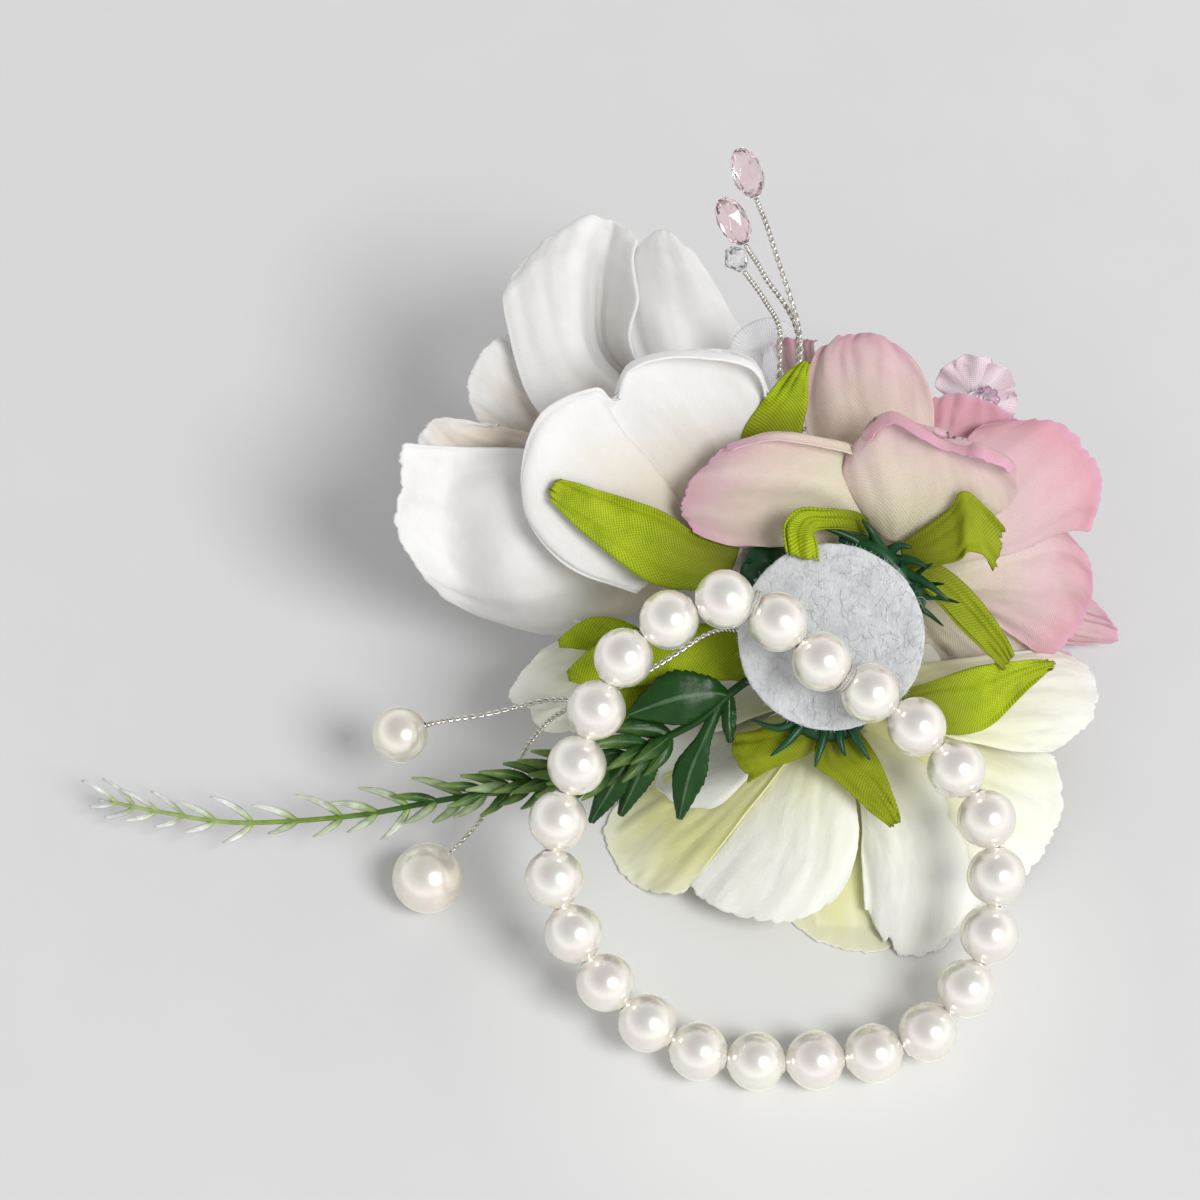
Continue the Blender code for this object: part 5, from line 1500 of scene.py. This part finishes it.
class MakeDisc(bpy.types.Operator):
    """Makes the felt disc with its loose fibres, and the glue behind it"""

    bl_idname = "corsage.disc"
    bl_label = "Felt disc"

    def execute(self, context):
        middle = from_disc(0, 0, -DISC_THICK / 2)
        whole = joined([placed(self.disc(), middle, OUT), self.fibres()])
        dressed("felt", whole, felt_finish(), ("felt_disc",))
        blob = turned(PAD_OUTLINE, PAD_SIDES)
        for vert in blob.verts:
            swell = 1 + PAD_SWELL * ripple(vert.co.x * 0.3, vert.co.y * 0.3, 2.0)
            vert.co.x *= swell
            vert.co.y *= swell
        middle = from_disc(*PAD_MIDDLE, -DISC_THICK - PLAY - PAD_THICK / 2)
        dressed("glue", placed(blob, middle, OUT), glue_finish(), ("glue_pad",))
        return {"FINISHED"}

    def disc(self):
        """The felt itself, uneven at its edge and on its faces."""
        shape = bmesh.new()
        bmesh.ops.create_cone(
            shape, cap_ends=True, segments=DISC_SIDES, radius1=DISC_WIDTH / 2,
            radius2=DISC_WIDTH / 2, depth=DISC_THICK,
        )
        caps = [face for face in shape.faces if len(face.verts) > 4]
        edge = [side for face in caps for side in face.edges]
        bmesh.ops.bevel(
            shape, geom=edge, offset=DISC_BEVEL, segments=3, profile=0.5, affect="EDGES",
            material=-1,
        )
        caps = [face for face in shape.faces if len(face.verts) > 4]
        for _ in range(6):
            bmesh.ops.inset_region(shape, faces=caps, thickness=DISC_WIDTH / 16)
        bmesh.ops.poke(shape, faces=caps)
        for vert in shape.verts:
            turn = math.atan2(vert.co.y, vert.co.x)
            cut = 1 + 0.012 * ripple(math.cos(turn) * 3, math.sin(turn) * 3, 1)
            cut += 0.008 * ripple(math.cos(turn) * 14, math.sin(turn) * 14, 5)
            vert.co.x *= cut
            vert.co.y *= cut
            vert.co.z += 0.1 * ripple(vert.co.x * 0.45, vert.co.y * 0.45, vert.co.z)
        return mapped(shape, cloth=lambda co: ((co.x + co.z) * MM, co.y * MM))

    def fibres(self):
        """Loose fibres: short ones that stand out of the edge, long ones that lie on the face."""
        draw = random.Random(5)
        lines = []
        for _ in range(EDGE_FIBRES):
            turn = draw.uniform(0, math.tau)
            reach = DISC_WIDTH / 2 + draw.uniform(-0.35, -0.1)
            spot = from_disc(reach * math.cos(turn), reach * math.sin(turn), draw.uniform(-1.3, 0))
            lean = turn + draw.uniform(-1.1, 1.1)
            way = RIGHT * math.cos(lean) + UP * math.sin(lean) + OUT * draw.uniform(-0.5, 0.7)
            bend = RIGHT * draw.uniform(-0.3, 0.3) + UP * draw.uniform(-0.3, 0.3)
            long = draw.uniform(0.2, 0.7)
            end = spot + way * long + bend * long
            lines.append([(spot, 0.03), (spot + way * long * 0.5, 0.025), (end, 0.01)])
        for _ in range(FACE_FIBRES):
            reach = DISC_WIDTH / 2 * math.sqrt(draw.uniform(0, 0.95))
            turn = draw.uniform(0, math.tau)
            spot = from_disc(reach * math.cos(turn), reach * math.sin(turn), 0.02)
            lean, long = draw.uniform(0, math.tau), draw.uniform(0.8, 2.2)
            way = RIGHT * math.cos(lean) + UP * math.sin(lean)
            bend = (RIGHT * math.sin(lean) - UP * math.cos(lean)) * draw.uniform(-0.5, 0.5)
            middle = spot + way * long * 0.5 + bend + OUT * 0.18
            end = spot + way * long + OUT * 0.02
            lines.append([(spot, 0.02), (middle, 0.03), (end, 0.02)])
        return mapped(tubes(lines, 4), cloth=flat_place)


class MakeBlooms(bpy.types.Operator):
    """Makes the white, pink and cream blooms and the bud, with their sepals and calyxes"""

    bl_idname = "corsage.blooms"
    bl_label = "Blooms, sepals and calyxes"

    def execute(self, context):
        silk, leaf, cup = sizes().silk, leaf_cloth(), calyx_plastic()
        satin = petal_cloth(
            "white_cloth", tint("white_root_and_shade"), tint("white"), paint(236, 236, 235),
            (0.0, 0.42, 1.0), weave=0.12, creases=0.00008, gloss=0.65,
        )
        rose = petal_cloth(
            "pink_cloth", tint("pink_heart"), tint("pink"), tint("pink_rim"), (0.12, 0.6, 1.02),
            weave=0.35, creases=0.00014, hem=paint(226, 164, 198),
        )
        ivory = petal_cloth(
            "cream_cloth", tint("cream_root_and_shade"), tint("cream"), paint(242, 242, 236),
            (0.1, 0.6, 1.0), weave=0.12, creases=0.00018,
        )
        white = bloom_pieces(
            "white_bloom", WHITE, WHITE_NETS, satin, sizes().satin, 1.5, 1.0, fray=0.9
        )
        sepals = self.sepals(
            "white_sepals", WHITE_LEAF_NETS, 25, leaf, surface_of(white), aged=0.5
        )
        calyx = self.calyx("white_calyx", WHITE, WHITE_CALYX, cup)
        pink = bloom_pieces(
            "pink_bloom", PINK, PINK_NETS, rose, silk, 1.4, 31.0,
            surface_of(white, sepals, calyx),
        )
        self.sepals("pink_sepals", PINK_LEAF_NETS, 32, leaf, surface_of(pink))
        self.calyx("pink_calyx", PINK, PINK_CALYX, cup, PINK_SPIKES, PINK_COLLAR)
        cream = bloom_pieces(
            "cream_bloom", CREAM, CREAM_NETS, ivory, silk, 1.3, 61.0
        )
        self.sepals("cream_sepals", CREAM_LEAF_NETS, 39, leaf, surface_of(cream), olive=True)
        self.calyx("cream_calyx", CREAM, CREAM_CALYX, cup, CREAM_SPIKES, CREAM_COLLAR)
        bud = bloom_pieces("cream_bud", BUD, BUD_NETS, ivory, silk, 0.8, 91.0)
        shape = bmesh.new()
        bed = surface_of(bud)
        for number, route in enumerate(BUD_SEPALS):
            leaf_sheet(shape, route, 8, 28, bed=bed, seed=81 + number, fold=0.35)
        dressed(
            "bud_leaves", shape, leaf, ("bud_sepals",), thickness=sizes().leaf
        )
        stem = mapped(
            tubes([rod_line(BUD_STEM, 1.0, 30)], 10), cloth=flat_place, spread=(0.5, 0.5),
            tone=(0.5, 0.5),
        )
        dressed("bud_stem", stem, leaf, ())
        return {"FINISHED"}

    def sepals(self, node, nets, seed, finish, bed, aged=0.25, olive=False):
        """Green cloth leaves behind a bloom. All but the first can be darkened towards olive."""
        shape = bmesh.new()
        for number, net in enumerate(nets):
            point = from_net(net, seed + 3 * number, ruffle=1.5, fray=2.0, corner=0.0)
            tone = aged if number else 0.5
            cloth_grid(shape, *LEAF_GRID, point, tone, bed, NETTED_LEAF_CLEARANCE)
        if olive:
            self.olive_sepal(shape, bed, seed + 3 * len(nets))
        return dressed(
            node + "_leaves", shape, finish, (node,), thickness=sizes().leaf
        )

    def olive_sepal(self, shape, bed, seed):
        """Adds the cream bloom's long leaf, which starts at the hub behind its core."""
        base, facing, _, _ = bloom_frame(CREAM)
        back = -CORE_BACK * CREAM.core - PLAY
        middle = to_disc(base + facing * (back - SEPAL_THICK / 2))
        behind = to_disc(base) - to_disc(base + facing)
        away = Vector(OLIVE_SEPAL[0]).to_3d() - middle
        away = (away - behind * away.dot(behind)).normalized()
        start = [(*(middle + away * reach), SEPAL_ROOT_WIDTH) for reach in SEPAL_STARTS]
        leaf_sheet(
            shape, (*start, *OLIVE_SEPAL), 14, 54, behind, 1 / (len(OLIVE_SEPAL) + 3), bed,
            seed=seed, rag=0.06,
        )

    def calyx(self, node, bloom, calyx, finish, spikes=(), collar=()):
        """The plastic cup behind a bloom, with its curved spikes and its stub."""
        base, facing, top, right = bloom_frame(bloom)
        stub = ((0, -calyx.stub), (1.3, -calyx.stub), (1.5, -calyx.stub + 0.2))
        lines = []
        for number, turn in enumerate(calyx.turns):
            outward = top * math.cos(math.radians(turn)) + right * math.sin(math.radians(turn))
            reach = calyx.reach * (1.0 if number % 2 else 0.86)
            bend = (3.4 + reach) / 2, (calyx.tip - 10) / 3 + 0.2
            route = [
                tuple(to_disc(base + outward * radial + facing * axial))
                for radial, axial in (*SPIKE_ROOT, bend, (reach, calyx.tip))
            ]
            lines.append(rod_line(route, SPIKE_RADIUS, 14, pointed(0.12, 0.8)))
        lines += [rod_line(route, SHOWN_SPIKE_RADIUS, 16, pointed(0.1, 0.75)) for route in spikes]
        lines += [
            rod_line(route, COLLAR_RADIUS, 20, lambda share: 0.5 + 0.5 * math.sin(math.pi * share))
            for route in collar
        ]
        cup = placed(turned((*stub, *CUP_OUTLINE), CUP_SIDES), base, facing)
        shape = joined([cup, tubes(lines, 10)])
        return dressed(node + "_cup", shape, finish, (node,), 60)


class MakeSprig(bpy.types.Operator):
    """Makes the plastic sprig with its small leaves and the larger ones at its root"""

    bl_idname = "corsage.sprig"
    bl_label = "Sprig"

    def execute(self, context):
        finish = sprig_plastic()
        shape = bmesh.new()
        for number, route in enumerate(SPRIG_LEAVES):
            self.root_leaf(shape, number, route)
        for number in range(SPRIG_WHORLS):
            self.whorl(shape, number)
        dressed(
            "sprig_leaves", shape, finish, ("greenery_sprig",),
            thickness=sizes().plastic,
        )
        line = rod_line(SPRIG_STEM, SPRIG_STEM_RADIUS, 120, lambda share: 1 - 0.6 * share)
        stem = mapped(
            tubes([line], 10), cloth=flat_place, spread=(0.2, 0.4),
            tone=lambda co: (0.12 - 0.85 * (co.x - DISC_MIDDLE.x) / 104, 0.0),
        )
        dressed("sprig_stem", stem, finish, ())
        return {"FINISHED"}

    def root_leaf(self, shape, number, route):
        """Adds one of the larger leaves, with teeth along one side of it."""
        toothed = 1 if number < 1 else -1

        def teeth(v, u):
            saw = (v * 15 + number * 0.3) % 1
            return 1 + (0.12 * (saw - 0.35) if u * toothed > 0 else 0.04 * saw)

        leaf_sheet(
            shape, route, 8, 52, rag=0.0, seed=101 + number, outline=teeth,
            tone=0.08 + 0.03 * number,
        )

    def whorl(self, shape, number):
        """Adds the small leaves that stand round one place of the stem: fewer towards its end."""
        part = number / (SPRIG_WHORLS - 1)
        share = SPRIG_SPAN[0] + (SPRIG_SPAN[1] - SPRIG_SPAN[0]) * part
        root, run = smooth_open(SPRIG_STEM, share), run_of(SPRIG_STEM, share)
        across = OUT_OF_DISC.cross(run).normalized()
        long = SPRIG_LEAF[0] + (SPRIG_LEAF[1] - SPRIG_LEAF[0]) * part
        swing = 25 * (number % 2)
        turns = (20 + swing, 160 - swing, 275, 75 + 15 * (number % 3))
        for side, turn in enumerate(turns if share < 0.6 else turns[: 2 + number % 2]):
            wander = ripple(number * 1.7, turn, 3.0)
            angle, lean = math.radians(turn), math.radians(SPRIG_LEANS + 22 * wander)
            away = across * math.cos(angle) + run.cross(across) * math.sin(angle)
            route, scale = [], SPRIG_LEAF_SCALES[side] * (1 + 0.3 * wander)
            for step, wide in enumerate(SPRIG_LEAF_WIDTHS):
                along = step / (len(SPRIG_LEAF_WIDTHS) - 1)
                bent = lean * (1.2 - 0.4 * along)
                aim = run * math.cos(bent) + away * math.sin(bent)
                width = long * wide * (1.25 - share)
                route.append((*(root + aim * long * scale * along), width))
            leaf_sheet(
                shape, route, 4, 8, fold=0.35, rag=0.0, seed=130 + number,
                root=away.cross(run.cross(away)) * -1 if turn > 200 else OUT_OF_DISC,
                tone=0.12 + 0.85 * share + 0.16 * wander,
            )


class MakeSprays(bpy.types.Operator):
    """Makes the twisted wires, their pearls and crystals, the blossom and the ribbon"""

    bl_idname = "corsage.sprays"
    bl_label = "Sprays, blossom and ribbon"

    def execute(self, context):
        wire, strand = wire_finish(), sizes().strand / MM / 2
        sprays = ("pearl_spray_wire", PEARL_SPRAY), ("crystal_spray_wire", CRYSTAL_SPRAY)
        for node, routes in sprays:
            lines = [line for route in routes for line in twisted_lines(route, strand)]
            dressed(node + "_twist", tubes(lines, 6), wire, (node,))
        pearly = pearl_finish("spray_pearl_skin", paint(240, 237, 228), (1.0, 0.98, 0.82))
        self.spray_pearl("spray_pearl_small", PEARL_SPRAY[0][-1], *SMALL_SPRAY_PEARL, pearly)
        self.spray_pearl("spray_pearl_large", PEARL_SPRAY[1][-1], *LARGE_SPRAY_PEARL, pearly)
        rose = crystal_finish("rose_glass", paint(252, 226, 230))
        for number, ends in enumerate(PINK_CRYSTALS):
            self.crystal(f"pink_crystal_{number + 1}", ends, LONG_CUT, rose, "rose_crystal")
        clear = crystal_finish("clear_glass", paint(240, 243, 244))
        self.crystal("clear_crystal", CLEAR_CRYSTAL, SHORT_CUT, clear, "clear_crystal")
        self.blossom()
        shape = bmesh.new()
        leaf_sheet(shape, RIBBON, 8, 70, fold=0.0, rag=0.01, seed=171)
        organza = sheer_finish("ribbon_organza", paint(232, 232, 236), paint(246, 246, 248), 0.25)
        dressed(
            "ribbon", shape, organza, ("ribbon_loop",), thickness=sizes().ribbon
        )
        return {"FINISHED"}

    def spray_pearl(self, node, wire, middle, width, finish):
        """A pearl glued on the end of its wire: it has a hole on the wire's side only."""
        radius, hole = width / 2, SPRAY_PEARL_HOLE
        ball = ball_outline(radius, math.asin(hole / radius), math.pi, 24)
        outline = [(0, -radius + 1.5), (hole, -radius + 1.2), *ball[:-1], (0, radius)]
        axis = (from_disc(*middle) - from_disc(*wire)).normalized()
        shape = placed(turned(outline, SPRAY_PEARL_SIDES), from_disc(*middle), axis)
        dressed(node + "_coated", shape, finish, (node,), 50)

    def crystal(self, node, ends, outline, finish, slot):
        """A cut glass bead: rows of flat faces, each row turned half a face from the last."""
        foot, middle = (from_disc(*end) for end in ends)
        axis = (middle - foot).normalized()
        half = outline[-1][1]
        shape = turned(((0, -half), *outline, (0, half)), 8)
        heights = sorted({round(vert.co.z, 3) for vert in shape.verts})
        for vert in shape.verts:
            turn = math.tau / 16 * (heights.index(round(vert.co.z, 3)) % 2)
            x, y = vert.co.x, vert.co.y
            vert.co.x = x * math.cos(turn) - y * math.sin(turn)
            vert.co.y = x * math.sin(turn) + y * math.cos(turn)
        bmesh.ops.triangulate(shape, faces=shape.faces)
        bead = placed(shape, foot + axis * (half + PLAY), axis)
        dressed(node + "_cut", bead, finish, (node,)).data.shade_flat()

    def blossom(self):
        """The small blossom with a ring of glass beads in it."""
        sheer = sheer_finish("blossom_organza", paint(250, 236, 242), paint(244, 218, 230), 0.35)
        shape = bmesh.new()
        petals_of(shape, BLOSSOM, BLOSSOM_GRID, 0.8, 151.0)
        dressed(
            "blossom_petals", shape, sheer, ("blossom",),
            thickness=sizes().organza,
        )
        beads = []
        for step in range(BLOSSOM_BEADS):
            turn = math.tau * step / BLOSSOM_BEADS
            place = from_disc(*BLOSSOM.base) + OUT * 1.4
            place += RIGHT * (BEAD_RING + BEAD_RING * math.cos(turn))
            place += UP * BEAD_RING * math.sin(turn)
            bead = bmesh.new()
            bmesh.ops.create_uvsphere(bead, u_segments=14, v_segments=10, radius=BLOSSOM_BEAD)
            beads.append(placed(bead, place, OUT, RIGHT))
        mauve = crystal_finish("mauve_glass", paint(226, 206, 222))
        dressed("blossom_beads", joined(beads), mauve, ())


class SetStage(bpy.types.Operator):
    """Sets the table top, the soft light and the camera"""

    bl_idname = "corsage.stage"
    bl_label = "Table, light and camera"

    def execute(self, context):
        scene = context.scene
        self.table(scene)
        self.sky(scene)
        self.lamp(scene)
        self.camera(scene)
        scene.view_settings.view_transform = "Standard"
        return {"FINISHED"}

    def table(self, scene):
        floor = bmesh.new()
        bmesh.ops.create_grid(floor, x_segments=1, y_segments=1, size=2.0)
        mesh = bpy.data.meshes.new("table")
        floor.to_mesh(mesh)
        floor.free()
        base = tint("floor")
        top = Finish("table_top", base, 0.8, Specular_IOR_Level=0.2)
        place = top.place()
        grain = top.cloud(place, 60, 3.0)
        grained = top.over(base, paint(206, 206, 208), grain, (0.35, 0.0), (0.7, 0.12))
        # Painted light: a lighter pool painted on the table round the middle of the ring
        inside = top.moved(place, (1 / PAINTED_LIGHT_REACH,) * 3, shift=in_frame(PAINTED_LIGHT_MIDDLE) / -PAINTED_LIGHT_REACH)
        near = top.add("TexGradient", {"Vector": inside}, gradient_type="SPHERICAL").outputs["Fac"]
        top.shade(top.over(grained, paint(229, 229, 227), near, (0.0, 0.0), (0.6, 1.0)))
        mesh.materials.append(top.material)
        table = bpy.data.objects.new("table", mesh)
        scene.collection.objects.link(table)

    def sky(self, scene):
        world = bpy.data.worlds.new("studio")
        world.use_nodes = True
        nodes, links = world.node_tree.nodes, world.node_tree.links
        sky = nodes["Background"]
        sky.inputs["Strength"].default_value = SKY_STRENGTH
        height = nodes.new("ShaderNodeSeparateXYZ")
        links.new(nodes.new("ShaderNodeTexCoord").outputs["Generated"], height.inputs["Vector"])
        fade = nodes.new("ShaderNodeValToRGB")
        links.new(height.outputs["Z"], fade.inputs["Fac"])
        for mark, (position, grey) in zip(fade.color_ramp.elements, SKY_FADE):
            mark.position = position
            mark.color = (grey, grey, grey, 1.0)
        links.new(fade.outputs["Color"], sky.inputs["Color"])
        scene.world = world

    def lamp(self, scene):
        light = bpy.data.lights.new("window", "AREA")
        light.shape = "DISK"
        light.size = LAMP_WIDTH
        light.energy = LAMP_POWER
        lamp = bpy.data.objects.new("window", light)
        lamp.location = LAMP_PLACE
        lamp.rotation_euler = Vector(LAMP_PLACE).to_track_quat("Z", "Y").to_euler()
        scene.collection.objects.link(lamp)

    def camera(self, scene):
        lens = bpy.data.cameras.new("camera")
        lens.lens = CAMERA_LENS
        lens.clip_start = 0.01
        camera = bpy.data.objects.new("camera", lens)
        camera.location = in_frame(CAMERA)
        camera.rotation_euler = (math.radians(90 - CAMERA_PITCH), 0, 0)
        scene.collection.objects.link(camera)
        scene.camera = camera


MAKERS = (MakeBracelet, MakeDisc, MakeBlooms, MakeSprig, MakeSprays, SetStage)


class CorsagePanel(bpy.types.Panel):
    """Lists the corsage's sizes, colours and makers"""

    bl_idname = "VIEW3D_PT_corsage"
    bl_label = "Wrist corsage"
    bl_space_type = "VIEW_3D"
    bl_region_type = "UI"
    bl_category = "Corsage"

    def draw(self, context):
        for group in (context.scene.corsage_sizes, context.scene.corsage_colours):
            column = self.layout.column(align=True)
            for name in group.__annotations__:
                column.prop(group, name)
        for maker in MAKERS:
            self.layout.operator(maker.bl_idname)


CLASSES = (CorsageSizes, CorsageColours, *MAKERS, CorsagePanel)


def register():
    for made in CLASSES:
        bpy.utils.register_class(made)
    bpy.types.Scene.corsage_sizes = bpy.props.PointerProperty(type=CorsageSizes)
    bpy.types.Scene.corsage_colours = bpy.props.PointerProperty(type=CorsageColours)


def unregister():
    del bpy.types.Scene.corsage_colours
    del bpy.types.Scene.corsage_sizes
    for made in reversed(CLASSES):
        bpy.utils.unregister_class(made)


def main():
    register()
    bpy.ops.corsage.bracelet()
    bpy.ops.corsage.disc()
    bpy.ops.corsage.blooms()
    bpy.ops.corsage.sprig()
    bpy.ops.corsage.sprays()
    bpy.ops.corsage.stage()


if __name__ == "__main__":
    main()
